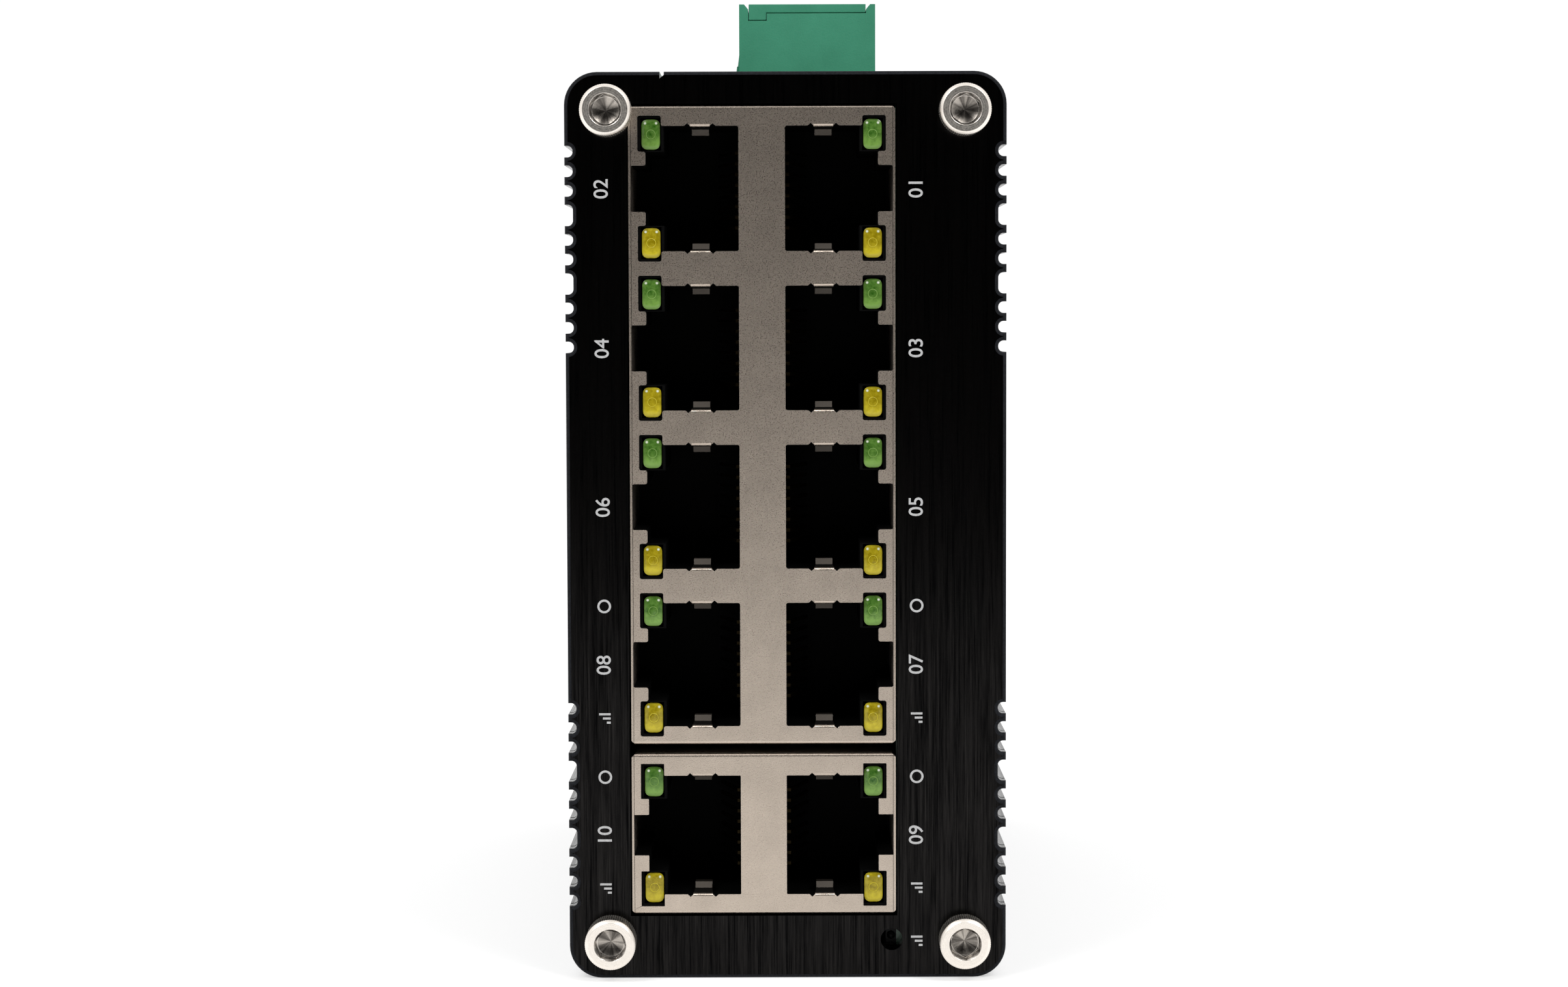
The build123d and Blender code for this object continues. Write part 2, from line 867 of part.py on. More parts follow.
def lid_section(play):
    """End view of the lid, with its hook at the left. Play makes it larger all round."""
    left, right = plug_left_x + lid_inset, plug_right_x - lid_inset
    low = plug_high_z - lid_thickness - play
    return outline(
        (left - play, plug_high_z + play),
        (left - play, low - lid_hook_depth),
        (left + lid_hook_width + play, low - lid_hook_depth),
        (left + lid_hook_width + play, low),
        (right + play, low),
        (right + play, plug_high_z + play),
    )


def rod(start, stop, y, radius):
    """Cylinder along X on a clamp screw's axis."""
    return Pos((start + stop) / 2, y, clamp_axis_z) * Rot(Y=90) * Cylinder(radius, stop - start)


def plug_housing():
    body = backwards(plug_outline(), terminal_front_y, terminal_length)
    beside = span(plug_left_x - grip_lip - 1, plug_left_x, plug_low_z - 1, plug_high_z + 1)
    for end_y in (terminal_front_y, terminal_rear_y - grip_inset):
        body -= backwards(beside, end_y, grip_inset)
    tongue_left = header_left_x + header_wall + plug_play
    tongue_right = board_face_x - header_wall - plug_play
    tongue_inset = header_wall + plug_play - header_end
    body += block(
        tongue_left,
        tongue_right,
        terminal_front_y + tongue_inset,
        terminal_rear_y - tongue_inset,
        plug_low_z - tongue_length,
        plug_low_z,
    )
    body -= backwards(lid_section(lid_play), terminal_front_y - 1, terminal_length + 2)
    channel = fork_half + cage_play
    half_bar = bar_width / 2 + cage_play
    half_cage = cage_width / 2 + cage_play
    for y in pole_places():
        body += block(
            tongue_left - key_height,
            tongue_left,
            y - key_width / 2,
            y + key_width / 2,
            plug_low_z - key_length + key_play,
            plug_low_z,
        )
        tongue_low = plug_low_z - tongue_length
        shelf_low = chamber_low_z - bar_thickness - 2 * cage_play
        bar_bed_x = bar_left_x - cage_play
        bar_low_y, bar_high_y = y - half_bar, y + half_bar
        body -= block(pin_x - channel, pin_x + channel, bar_low_y, bar_high_y, tongue_low - 1, chamber_low_z)
        body -= block(bar_bed_x, pin_x + channel, bar_low_y, bar_high_y, shelf_low, chamber_low_z)
        body -= block(
            chamber_left_x, chamber_right_x, y - half_cage, y + half_cage, chamber_low_z, plug_high_z + 1
        )
        recess_left = plug_left_x - grip_lip - 1
        body -= rod(recess_left, clamp_seat_x, y, clamp_head_radius + clamp_recess_play)
        body -= rod(clamp_seat_x, chamber_left_x, y, clamp_screw_radius + clamp_screw_play)
    return body


def plug_cover():
    """Snap-in lid with a bevelled wire entry over each clamp."""
    lid = backwards(lid_section(0), terminal_front_y, terminal_length)
    for y in pole_places():
        entry = Rectangle(wire_gap, entry_height)
        rim = Rectangle(wire_gap + 2 * entry_bevel, entry_height + 2 * entry_bevel)
        mouth = Pos(entry_x, y, plug_high_z)
        lid -= mouth * extrude(entry, amount=-2 * lid_thickness)
        lid -= mouth * loft([Pos(0, 0, -entry_bevel) * entry, rim])
    return lid


def plug_contacts():
    """Contact bars: each stands in its cage and ends below in a fork that grips the header's pin."""
    low = chamber_low_z - bar_thickness - cage_play
    inner = pin_width / 2 + fork_play
    section = outline(
        (bar_left_x, low),
        (bar_left_x, cage_low_z + cage_height + bar_rise),
        (bar_right_x, cage_low_z + cage_height + bar_rise),
        (bar_right_x, low + bar_thickness),
        (pin_x + fork_half, low + bar_thickness),
        (pin_x + fork_half, low + bar_thickness - fork_length),
        (pin_x + inner, low + bar_thickness - fork_length),
        (pin_x + inner, low),
        (pin_x - inner, low),
        (pin_x - inner, low + bar_thickness - fork_length),
        (pin_x - fork_half, low + bar_thickness - fork_length),
        (pin_x - fork_half, low),
    )
    return group(backwards(section, y - bar_width / 2, bar_width) for y in pole_places())


def clamp_cage(y):
    """Square cage round the contact bar, its left wall threaded on the clamp screw."""
    half = cage_width / 2
    cage = block(cage_left_x, cage_right_x, y - half, y + half, cage_low_z, cage_low_z + cage_height)
    cage -= block(
        cage_left_x + clamp_wall,
        cage_right_x - clamp_wall,
        y - half + cage_side,
        y + half - cage_side,
        cage_low_z - 1,
        cage_low_z + cage_height + 1,
    )
    wall_right_x = cage_left_x + 1.1 * clamp_wall
    return cage - rod(cage_left_x - 1, wall_right_x, y, clamp_screw_radius + clamp_screw_play)


def clamp_screw(y):
    """Slotted screw along X: head at the left in its recess, tip just short of the contact bar."""
    head_right = clamp_seat_x - clamp_recess_play
    head_left = head_right - clamp_head_height
    screw = rod(head_left, head_right, y, clamp_head_radius)
    screw += rod(head_right, bar_left_x - clamp_recess_play, y, clamp_screw_radius)
    slot = Box(2 * clamp_slot_depth, 3 * clamp_head_radius, clamp_slot_width)
    return screw - Pos(head_left, y, clamp_axis_z) * slot


# Rail clip


def clip_screw_places():
    """Clip screws, one above and two below the rail's middle."""
    low_z = clip_centre_z - clip_screw_down
    return [(0, clip_centre_z + clip_screw_up), (-clip_screw_spread, low_z), (clip_screw_spread, low_z)]


clip_face_y = rear_face_y + clip_sheet
clip_low_z = clip_centre_z - rail_height / 2 - clip_slack
clip_high_z = clip_centre_z + rail_height / 2 + clip_slack + spring_wire + spring_sag
hook_inner_y = clip_face_y + rail_lip_gap
hook_outer_y = hook_inner_y + clip_sheet


def clip_head():
    """Countersunk head of a clip screw, its flat face at z = 0."""
    return Pos(0, 0, -clip_head_depth / 2) * Cone(clip_screw_radius, clip_head_radius, clip_head_depth)


def din_clip_plate():
    """Folded sheet with a fixed lip below the rail and two hooks above it."""
    upper_tip = clip_high_z - spring_wire - spring_sag - clip_hook
    section = outline(
        (rear_face_y, clip_low_z - clip_sheet),
        (hook_outer_y, clip_low_z - clip_sheet),
        (hook_outer_y, clip_low_z + clip_hook),
        (hook_inner_y, clip_low_z + clip_hook),
        (hook_inner_y, clip_low_z),
        (clip_face_y, clip_low_z),
        (clip_face_y, clip_high_z),
        (hook_inner_y, clip_high_z),
        (hook_inner_y, upper_tip),
        (hook_outer_y, upper_tip),
        (hook_outer_y, clip_high_z + clip_sheet),
        (rear_face_y, clip_high_z + clip_sheet),
    )
    folds = [
        v
        for v in section.vertices()
        if (abs(v.X - hook_outer_y) < 0.01 or abs(v.X - rear_face_y) < 0.01)
        and (v.Y > clip_high_z or v.Y < clip_low_z)
    ]
    section = fillet(folds, clip_bend_radius)
    plate = rightwards(section, -clip_width / 2, clip_width)
    plate -= block(
        -clip_slot_width / 2,
        clip_slot_width / 2,
        hook_inner_y - 0.01,
        hook_outer_y + 1,
        upper_tip - 1,
        clip_high_z,
    )
    head = clip_head()
    shank_hole = Cylinder(clip_screw_radius + plate_hole_play, 3 * clip_sheet)
    for x, z in clip_screw_places():
        plate -= Pos(x, clip_face_y, z) * facing_rear(head + shank_hole)
    return plate


def din_clip_spring():
    """Bowed spring wire behind the upper hooks, which presses the rail down on the fixed lip."""
    end_x = clip_width / 2 - spring_inset
    high = clip_high_z - spring_wire / 2
    y = (clip_face_y + hook_inner_y) / 2
    path = ThreePointArc((-end_x, y, high), (0, y, high - spring_sag), (end_x, y, high))
    profile = Plane(origin=path @ 0, z_dir=path % 0) * Circle(spring_wire / 2)
    return sweep(profile, path=path)


def din_clip_screws():
    screw = clip_head() + Pos(0, 0, -clip_screw_length / 2) * Cylinder(clip_screw_radius, clip_screw_length)
    for turn in (0, 90):
        screw -= Rot(Z=turn) * Box(clip_cross_width, clip_cross_slot, clip_head_depth)
    return group(Pos(x, clip_face_y, z) * facing_rear(screw) for x, z in clip_screw_places())


def all_parts():
    """Every node of the switch, by name."""
    upper = (upper_jack_bottom, upper_jack_rows)
    lower = (lower_jack_bottom, lower_jack_rows)
    nodes = {
        "housing_extrusion": housing_extrusion(),
        "front_plate": front_plate(),
        "rear_plate": rear_plate(),
        "front_plate_screws": front_plate_screws(),
        "rear_plate_screws": rear_plate_screws(),
        "upper_jack_shield": jack_shield(*upper, upper_port_height, upper_latch_height, upper_port_radius),
        "upper_jack_body": jack_body(*upper, upper_port_height, upper_latch_height),
        "upper_jack_contacts": jack_contacts(*upper),
        "upper_green_lamps": jack_lamps(*upper, 1),
        "upper_yellow_lamps": jack_lamps(*upper, -1),
        "lower_jack_shield": jack_shield(*lower, lower_port_height, lower_latch_height, lower_port_radius),
        "lower_jack_body": jack_body(*lower, lower_port_height, lower_latch_height),
        "lower_jack_contacts": jack_contacts(*lower),
        "lower_green_lamps": jack_lamps(*lower, 1),
        "lower_yellow_lamps": jack_lamps(*lower, -1),
        "main_circuit_board": main_circuit_board(),
        "power_lamp": power_lamp(),
        "switch_chip": switch_chip(),
        "switch_heat_sink": switch_heat_sink(),
        "poe_controllers": poe_controllers(),
        "line_transformers": line_transformers(),
        "storage_capacitors": storage_capacitors(),
        "power_inductor": power_inductor(),
        "power_transistors": power_transistors(),
        "timing_crystal": timing_crystal(),
        "memory_chip": memory_chip(),
        "power_header": power_header(),
        "header_pins": header_pins(),
        "plug_housing": plug_housing(),
        "plug_cover": plug_cover(),
        "plug_contacts": plug_contacts(),
        "din_clip_plate": din_clip_plate(),
        "din_clip_spring": din_clip_spring(),
        "din_clip_screws": din_clip_screws(),
    }
    for pole, y in enumerate(pole_places(), 1):
        nodes[f"clamp_cage_{pole}"] = clamp_cage(y)
        nodes[f"clamp_screw_{pole}"] = clamp_screw(y)
    return nodes


os.makedirs("parts", exist_ok=True)
for name, shape in all_parts().items():
    export_step(shape, f"parts/{name}.step")
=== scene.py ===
"""Industrial ethernet switch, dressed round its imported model. Metres, +Z up, the ports facing -Y."""

import math

import bpy
from mathutils import Matrix, Vector


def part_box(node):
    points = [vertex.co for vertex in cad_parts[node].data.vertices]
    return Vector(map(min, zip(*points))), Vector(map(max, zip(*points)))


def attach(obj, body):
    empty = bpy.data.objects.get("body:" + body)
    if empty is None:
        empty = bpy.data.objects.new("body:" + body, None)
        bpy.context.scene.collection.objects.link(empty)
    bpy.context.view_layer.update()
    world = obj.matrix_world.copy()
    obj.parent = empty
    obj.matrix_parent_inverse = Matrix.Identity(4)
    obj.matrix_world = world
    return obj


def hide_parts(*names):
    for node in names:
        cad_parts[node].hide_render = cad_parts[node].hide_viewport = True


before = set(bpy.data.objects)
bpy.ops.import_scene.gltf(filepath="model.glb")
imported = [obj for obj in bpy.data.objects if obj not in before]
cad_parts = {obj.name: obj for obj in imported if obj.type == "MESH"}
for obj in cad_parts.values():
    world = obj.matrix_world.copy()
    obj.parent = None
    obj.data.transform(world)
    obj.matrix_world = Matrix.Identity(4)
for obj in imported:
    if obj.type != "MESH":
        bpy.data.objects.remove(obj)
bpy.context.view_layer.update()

# Case extrusion
# The body is one length of aluminium profile with grooves drawn down both sides, sawn off square,
# milled open at the top for the supply header and anodised black.

MM = 0.001
CASE_EDGE = 0.08 * MM
WELD_GAP = 0.0005 * MM
FLAT_WITHIN = math.radians(0.5)
FACING = 0.9
PROFILE_LINES = (5000, 90, 5000)
STROKE_WIDTH = 0.4
HAIRLINE_SHARE = 0.6
LINE_BUMP = 0.01 * MM
ANODISED_DARK = (0.0025, 0.0025, 0.0027, 1)
ANODISED_LIGHT = (0.02, 0.0188, 0.018, 1)


def worked_copy(node, name, body="case"):
    """Copies a solid's mesh into a new piece that stands for it, welded and with its flat faces whole."""
    piece = bpy.data.objects.new(name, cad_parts[node].data.copy())
    bpy.context.scene.collection.objects.link(piece)
    piece.data.materials.clear()
    pick(piece)
    bpy.ops.object.mode_set(mode="EDIT")
    bpy.ops.mesh.select_all(action="SELECT")
    bpy.ops.mesh.remove_doubles(threshold=WELD_GAP)
    bpy.ops.mesh.dissolve_limited(angle_limit=FLAT_WITHIN)
    bpy.ops.object.mode_set(mode="OBJECT")
    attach(piece, body)
    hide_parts(node)
    return piece


def pick(*pieces):
    """Leaves edit mode, selects only these pieces and makes the first one active."""
    if bpy.context.mode != "OBJECT":
        bpy.ops.object.mode_set(mode="OBJECT")
    bpy.ops.object.select_all(action="DESELECT")
    for piece in pieces:
        piece.select_set(True)
    bpy.context.view_layer.objects.active = pieces[0]


def choose(piece, kind, test):
    """Selects the piece's edges or faces that pass a test, and leaves it in edit mode."""
    pick(piece)
    bpy.ops.object.mode_set(mode="EDIT")
    bpy.ops.mesh.select_mode(type=kind)
    bpy.ops.mesh.select_all(action="DESELECT")
    bpy.ops.object.mode_set(mode="OBJECT")
    for item in piece.data.edges if kind == "EDGE" else piece.data.polygons:
        item.select = test(item)
    bpy.ops.object.mode_set(mode="EDIT")


def break_edges(piece, width, segments=2, angle=30, finish=0):
    """Rounds the sharp edges a little, with a finish of their own or the piece's, and shades it smooth."""
    pick(piece)
    bevel = piece.modifiers.new("edges", "BEVEL")
    bevel.width = width
    bevel.segments = segments
    bevel.material = finish
    bevel.limit_method = "ANGLE"
    bevel.angle_limit = math.radians(angle)
    bpy.ops.object.modifier_apply(modifier=bevel.name)
    shade(piece, angle)


def shade(piece, angle=30):
    """Shades the piece smooth between its sharp edges, with its large flat faces kept flat."""
    pick(piece)
    bpy.ops.object.shade_smooth_by_angle(angle=math.radians(angle))
    weighted = piece.modifiers.new("flat faces", "WEIGHTED_NORMAL")
    weighted.weight = 100
    weighted.keep_sharp = True
    bpy.ops.object.modifier_apply(modifier=weighted.name)


def new_material(name, **sockets):
    """Material with a Principled shader, its plain sockets set by name."""
    material = bpy.data.materials.new(name)
    material.use_nodes = True
    tree = material.node_tree
    shader = tree.nodes["Principled BSDF"]
    for socket, value in sockets.items():
        shader.inputs[socket.replace("_", " ")].default_value = value
    return material, tree, shader


def add_node(tree, kind, settings=None, **sockets):
    """Adds a node. Sockets take a value or another node's output."""
    node = tree.nodes.new(kind)
    for key, value in (settings or {}).items():
        setattr(node, key, value)
    for key, value in sockets.items():
        socket = node.inputs[key.replace("_", " ")]
        if isinstance(value, bpy.types.NodeSocket):
            tree.links.new(value, socket)
        else:
            socket.default_value = value
    return node


def stretched_noise(tree, scale, detail=4, roughness=0.6):
    """Noise on the piece's own coordinates, scale giving the spots per metre, alike or along each axis."""
    place = add_node(tree, "ShaderNodeTexCoord").outputs["Object"]
    spots = scale if isinstance(scale, (tuple, list)) else (scale, scale, scale)
    mapped = add_node(tree, "ShaderNodeMapping", Vector=place, Scale=spots).outputs["Vector"]
    noise = add_node(tree, "ShaderNodeTexNoise", Vector=mapped, Scale=1, Detail=detail, Roughness=roughness)
    return noise.outputs["Fac"]


def between(tree, factor, low, high, start=0.35, stop=0.65):
    """Value or colour that runs from low to high while factor runs from start to stop."""
    if not isinstance(low, tuple):
        node = add_node(tree, "ShaderNodeMapRange", Value=factor, To_Min=low, To_Max=high)
        node.inputs["From Min"].default_value = start
        node.inputs["From Max"].default_value = stop
        return node.outputs["Result"]
    ramp = tree.nodes.new("ShaderNodeValToRGB")
    ramp.color_ramp.elements[0].position = start
    ramp.color_ramp.elements[0].color = low
    ramp.color_ramp.elements[1].position = stop
    ramp.color_ramp.elements[1].color = high
    tree.links.new(factor, ramp.inputs["Fac"])
    return ramp.outputs["Color"]


def vary(shader, socket, factor, low, high, start=0.35, stop=0.65):
    """Lets one of the shader's sockets run from low to high with a pattern."""
    tree = shader.id_data
    tree.links.new(between(tree, factor, low, high, start, stop), shader.inputs[socket])


def calc(tree, operation, *values):
    """Math node on numbers or other nodes' outputs."""
    node = tree.nodes.new("ShaderNodeMath")
    node.operation = operation
    for socket, value in zip(node.inputs, values):
        if isinstance(value, bpy.types.NodeSocket):
            tree.links.new(value, socket)
        else:
            socket.default_value = value
    return node.outputs[0]


def blend(tree, first, second, share):
    """Two patterns as one, the first with the given share."""
    return calc(tree, "MULTIPLY_ADD", first, share, calc(tree, "MULTIPLY", second, 1 - share))


def roughen(shader, height, distance):
    """Feeds a height into the shader's normal."""
    tree = shader.id_data
    bump = add_node(tree, "ShaderNodeBump", Height=height, Distance=distance, Strength=1.0)
    tree.links.new(bump.outputs["Normal"], shader.inputs["Normal"])


def black_anodised(name, lines, **sockets):
    """Black anodised aluminium, its fine lines running along the axis with the smallest scale."""
    material, tree, shader = new_material(name, Metallic=1.0, **sockets)
    hairlines = stretched_noise(tree, lines, roughness=0.75)
    strokes = stretched_noise(tree, [value * STROKE_WIDTH for value in lines], detail=3)
    pattern = blend(tree, hairlines, strokes, HAIRLINE_SHARE)
    vary(shader, "Base Color", pattern, ANODISED_DARK, ANODISED_LIGHT, start=0.4, stop=0.66)
    vary(shader, "Roughness", pattern, low=0.28, high=0.16, start=0.38, stop=0.62)
    roughen(shader, pattern, LINE_BUMP)
    return material


def give(piece, material, edge=None):
    """Assigns the finish to the whole piece and holds one ready for its edges."""
    piece.data.materials.clear()
    piece.data.materials.append(material)
    if edge:
        piece.data.materials.append(edge)


extrusion_black = black_anodised(
    "black_anodised_profile", PROFILE_LINES, Sheen_Weight=0.3, Sheen_Roughness=0.3
)
extrusion = worked_copy("housing_extrusion", "case_extrusion")
give(extrusion, extrusion_black)
break_edges(extrusion, CASE_EDGE, segments=1)

# Rear plate and its screws
# A black anodised plate closes the back, held like the front one by four low stainless socket screws
# with a knurled head, each turned from bar and bright on its bevelled rim.

PLATE_EDGE = 0.34 * MM
PLATE_BAND = 1.1 * MM
PLATE_LINES = (7000, 7000, 150)
TOUCHING = 0.01 * MM
FOLD_LIMIT = 0.5
CASE_CORNER = 3.1 * MM
INDEX_GROOVE_X = -11.6 * MM
INDEX_GROOVE_REACH = 0.5 * MM
TUMBLED_DARK = (0.004, 0.0042, 0.005, 1)
TUMBLED_LIGHT = (0.014, 0.015, 0.018, 1)
TUMBLED_GRAIN = 5000
TUMBLED_BUMP = 0.03 * MM
SCREW_HEAD_RADIUS = 2.42 * MM
SCREW_HEAD_HEIGHT = 2.6 * MM
SCREW_RIM = 0.3 * MM
SCREW_SOCKET_WIDTH = 2.62 * MM
SCREW_SOCKET_DEPTH = 1.3 * MM
SCREW_MOUTH_RADIUS = 1.54 * MM
SCREW_DRILL_DEPTH = 0.7 * MM
KNURLS = 72
KNURL_DEPTH = 0.025 * MM
SCREW_DRILL_SINK = 0.48
SCREW_EDGE = 0.03 * MM
SCREW_FIRST_TURN = 0.35
SCREW_NEXT_TURN = 0.9
STEEL_GRAIN = 6000
LATHE_RINGS = 22
LATHE_SHARE = 0.6
LATHE_BUMP = 0.0012 * MM
# Socket walls: painted shade, with paler painted highlights in soft wedges.
SOCKET_HIGHLIGHT_WEDGES = 1.7
STEEL = (0.86, 0.8, 0.73, 1)
SOCKET_PAINTED_SHADE = (0.1, 0.09, 0.08, 1)
SOCKET_PAINTED_HIGHLIGHT = (0.46, 0.42, 0.375, 1)

plate_black = black_anodised("black_anodised_plate", PLATE_LINES)


def grained(name, grain, colours=None, rough=None, bump=0.0, detail=4, roughness=0.6, **sockets):
    """Material with one fine grain in its colour, its roughness and its height, where they are given."""
    material, tree, shader = new_material(name, **sockets)
    pattern = stretched_noise(tree, grain, detail, roughness)
    if colours:
        vary(shader, "Base Color", pattern, *colours)
    if rough:
        vary(shader, "Roughness", pattern, *rough)
    if bump:
        roughen(shader, pattern, bump)
    return material


tumbled_black = grained(
    "tumbled_edge",
    TUMBLED_GRAIN,
    colours=(TUMBLED_DARK, TUMBLED_LIGHT),
    rough=(0.45, 0.65),
    bump=TUMBLED_BUMP,
    detail=5,
    roughness=0.75,
    Specular_IOR_Level=0.06,
)


def dressed_plate(node, name):
    """Black plate with its outline tumbled round on both faces and its holes left crisp."""
    plate = worked_copy(node, name)
    give(plate, plate_black, edge=tumbled_black)
    low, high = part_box(node)
    middle, half = (low + high) / 2, (high - low) / 2
    sharp = set()
    sides = {}
    for face in plate.data.polygons:
        for key in face.edge_keys:
            sides.setdefault(key, []).append(face.normal)
    for edge in plate.data.edges:
        normals = sides[edge.key]
        if len(normals) == 2 and normals[0].dot(normals[1]) < FOLD_LIMIT:
            sharp.add(edge.index)

    def on_outline(edge):
        a, b = (plate.data.vertices[v].co for v in edge.vertices)
        centre = (a + b) / 2
        if abs(a.y - b.y) > TOUCHING or abs(abs(centre.y - middle.y) - half.y) > TOUCHING:
            return False
        across = max(abs(centre.x - middle.x) - half.x + CASE_CORNER, 0)
        up = max(abs(centre.z - middle.z) - half.z + CASE_CORNER, 0)
        in_groove = abs(centre.x - INDEX_GROOVE_X) < INDEX_GROOVE_REACH and centre.z > high.z - PLATE_BAND
        return edge.index in sharp and math.hypot(across, up) > CASE_CORNER - PLATE_BAND and not in_groove

    choose(plate, "EDGE", on_outline)
    bpy.ops.mesh.bevel(offset=PLATE_EDGE, segments=3, affect="EDGES", clamp_overlap=False, material=1)
    shade(plate)
    return plate


dressed_plate("rear_plate", "rear_plate_dressed")


def own_map(piece, name, place):
    """Gives the piece one map of its own, worked out from the place of each corner."""
    while piece.data.uv_layers:
        piece.data.uv_layers.remove(piece.data.uv_layers[0])
    layer = piece.data.uv_layers.new(name=name)
    for loop in piece.data.loops:
        layer.data[loop.index].uv = place(piece.data.vertices[loop.vertex_index].co)


def turned_metal(name, colour, low, high):
    """Bright metal with the fine rings of the lathe round each screw's own centre."""
    material, tree, shader = new_material(name, Metallic=1.0, Base_Color=colour)
    place = add_node(tree, "ShaderNodeUVMap", {"uv_map": "turned"}).outputs["UV"]
    radius = add_node(tree, "ShaderNodeVectorMath", {"operation": "LENGTH"}, Vector=place).outputs["Value"]
    noise = add_node(
        tree, "ShaderNodeTexNoise", {"noise_dimensions": "1D"}, W=radius, Scale=LATHE_RINGS, Detail=3
    )
    grain = stretched_noise(tree, STEEL_GRAIN, detail=3, roughness=0.7)
    pattern = blend(tree, noise.outputs["Fac"], grain, LATHE_SHARE)
    vary(shader, "Roughness", pattern, low, high)
    roughen(shader, pattern, LATHE_BUMP)
    return material


def painted_socket_metal(name, dark, light):
    """Broached metal down a socket, painted dark as its shade, with paler painted highlights in soft wedges
    round each screw's own centre.
    """
    material, tree, shader = new_material(name, Metallic=1.0)
    place = add_node(tree, "ShaderNodeUVMap", {"uv_map": "turned"}).outputs["UV"]
    outward = add_node(tree, "ShaderNodeVectorMath", {"operation": "NORMALIZE"}, Vector=place)
    wedges = add_node(
        tree, "ShaderNodeTexNoise", Vector=outward.outputs["Vector"], Scale=SOCKET_HIGHLIGHT_WEDGES, Detail=2
    )
    vary(shader, "Base Color", wedges.outputs["Fac"], dark, light, start=0.38, stop=0.62)
    vary(shader, "Roughness", stretched_noise(tree, STEEL_GRAIN, detail=3), low=0.26, high=0.38)
    return material


screw_steel = turned_metal("screw_steel", STEEL, low=0.22, high=0.38)
# The socket's painted shade and painted highlights.
socket_shade_and_highlight = painted_socket_metal("screw_socket_painted_shade", SOCKET_PAINTED_SHADE, SOCKET_PAINTED_HIGHLIGHT)


def cut(piece, tool):
    """Cuts the tool's shape out of the piece and throws the tool away."""
    pick(piece)
    boolean = piece.modifiers.new("cut", "BOOLEAN")
    boolean.operation = "DIFFERENCE"
    boolean.solver = "EXACT"
    boolean.object = tool
    bpy.ops.object.modifier_apply(modifier=boolean.name)
    bpy.data.objects.remove(tool)


def turned_screw():
    """One screw head along +Z with its seat at the origin: knurled side, bevelled rim, hexagon socket."""
    top = SCREW_HEAD_HEIGHT
    bpy.ops.object.select_all(action="DESELECT")
    bpy.ops.mesh.primitive_cylinder_add(
        vertices=2 * KNURLS, radius=SCREW_HEAD_RADIUS, depth=top, location=(0, 0, top / 2)
    )
    screw = bpy.context.object
    bpy.ops.object.transform_apply(location=True, rotation=False, scale=False)
    choose(screw, "FACE", lambda face: face.normal.z > FACING)
    bpy.ops.mesh.inset(thickness=SCREW_RIM)
    bpy.ops.object.mode_set(mode="OBJECT")
    for vertex in screw.data.vertices:
        if math.hypot(vertex.co.x, vertex.co.y) > SCREW_HEAD_RADIUS - SCREW_RIM / 2:
            tooth = round(math.atan2(vertex.co.y, vertex.co.x) / math.pi * KNURLS) % 2
            vertex.co.xy *= 1 - tooth * KNURL_DEPTH / SCREW_HEAD_RADIUS
            vertex.co.z = min(vertex.co.z, top - SCREW_RIM)
    corner = SCREW_SOCKET_WIDTH / 2 / math.cos(math.pi / 6)
    bpy.ops.mesh.primitive_cylinder_add(
        vertices=6, radius=corner, depth=2 * SCREW_SOCKET_DEPTH, location=(0, 0, top)
    )
    cut(screw, bpy.context.object)
    floor_z = top - SCREW_SOCKET_DEPTH
    bpy.ops.mesh.primitive_cone_add(
        vertices=48,
        radius1=0,
        radius2=SCREW_SOCKET_WIDTH / 2 - TOUCHING,
        depth=SCREW_DRILL_DEPTH,
        location=(0, 0, floor_z - SCREW_DRILL_DEPTH * SCREW_DRILL_SINK),
    )
    cut(screw, bpy.context.object)
    bpy.ops.mesh.primitive_cone_add(
        vertices=72,
        radius1=0,
        radius2=2 * SCREW_MOUTH_RADIUS,
        depth=2 * SCREW_MOUTH_RADIUS,
        location=(0, 0, top),
    )
    cut(screw, bpy.context.object)
    give(screw, screw_steel, edge=socket_shade_and_highlight)
    # Faces down the socket take the painted shade.
    for face in screw.data.polygons:
        inside = math.hypot(face.center.x, face.center.y) < SCREW_MOUTH_RADIUS
        face.material_index = int(inside and face.center.z < top - TOUCHING)
    break_edges(screw, SCREW_EDGE, segments=2, angle=25)
    own_map(screw, "turned", lambda place: (place.x / MM, place.y / MM))
    return screw


screw_master = turned_screw()


def plate_screws(name, node, face_y, turn):
    """Four screws on a plate's corners, as one piece that stands for the node."""
    low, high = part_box(node)
    inset = SCREW_HEAD_RADIUS
    copies = []
    for x in (low.x + inset, high.x - inset):
        for z in (low.z + inset, high.z - inset):
            screw = screw_master.copy()
            screw.data = screw_master.data.copy()
            bpy.context.scene.collection.objects.link(screw)
            spin = Matrix.Rotation(len(copies) * SCREW_NEXT_TURN + SCREW_FIRST_TURN, 4, "Z")
            screw.data.transform(Matrix.Translation((x, face_y, z)) @ Matrix.Rotation(turn, 4, "X") @ spin)
            copies.append(screw)
    pick(*copies)
    bpy.ops.object.join()
    piece = copies[0]
    piece.name = name
    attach(piece, "case")
    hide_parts(node)
    return piece


plate_screws("rear_screws", "rear_plate_screws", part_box("rear_plate")[1].y, -math.pi / 2)

# Rail clip
# A folded steel sheet on the rear plate with a fixed lip below and two hooks above, zinc plated,
# with a bowed wire behind the hooks and three countersunk screws.

ZINC_DARK = (0.42, 0.43, 0.45, 1)
ZINC_LIGHT = (0.62, 0.63, 0.64, 1)
ZINC_FLAKES = 700
ZINC_BUMP = 0.01 * MM
CLIP_EDGE = 0.15 * MM

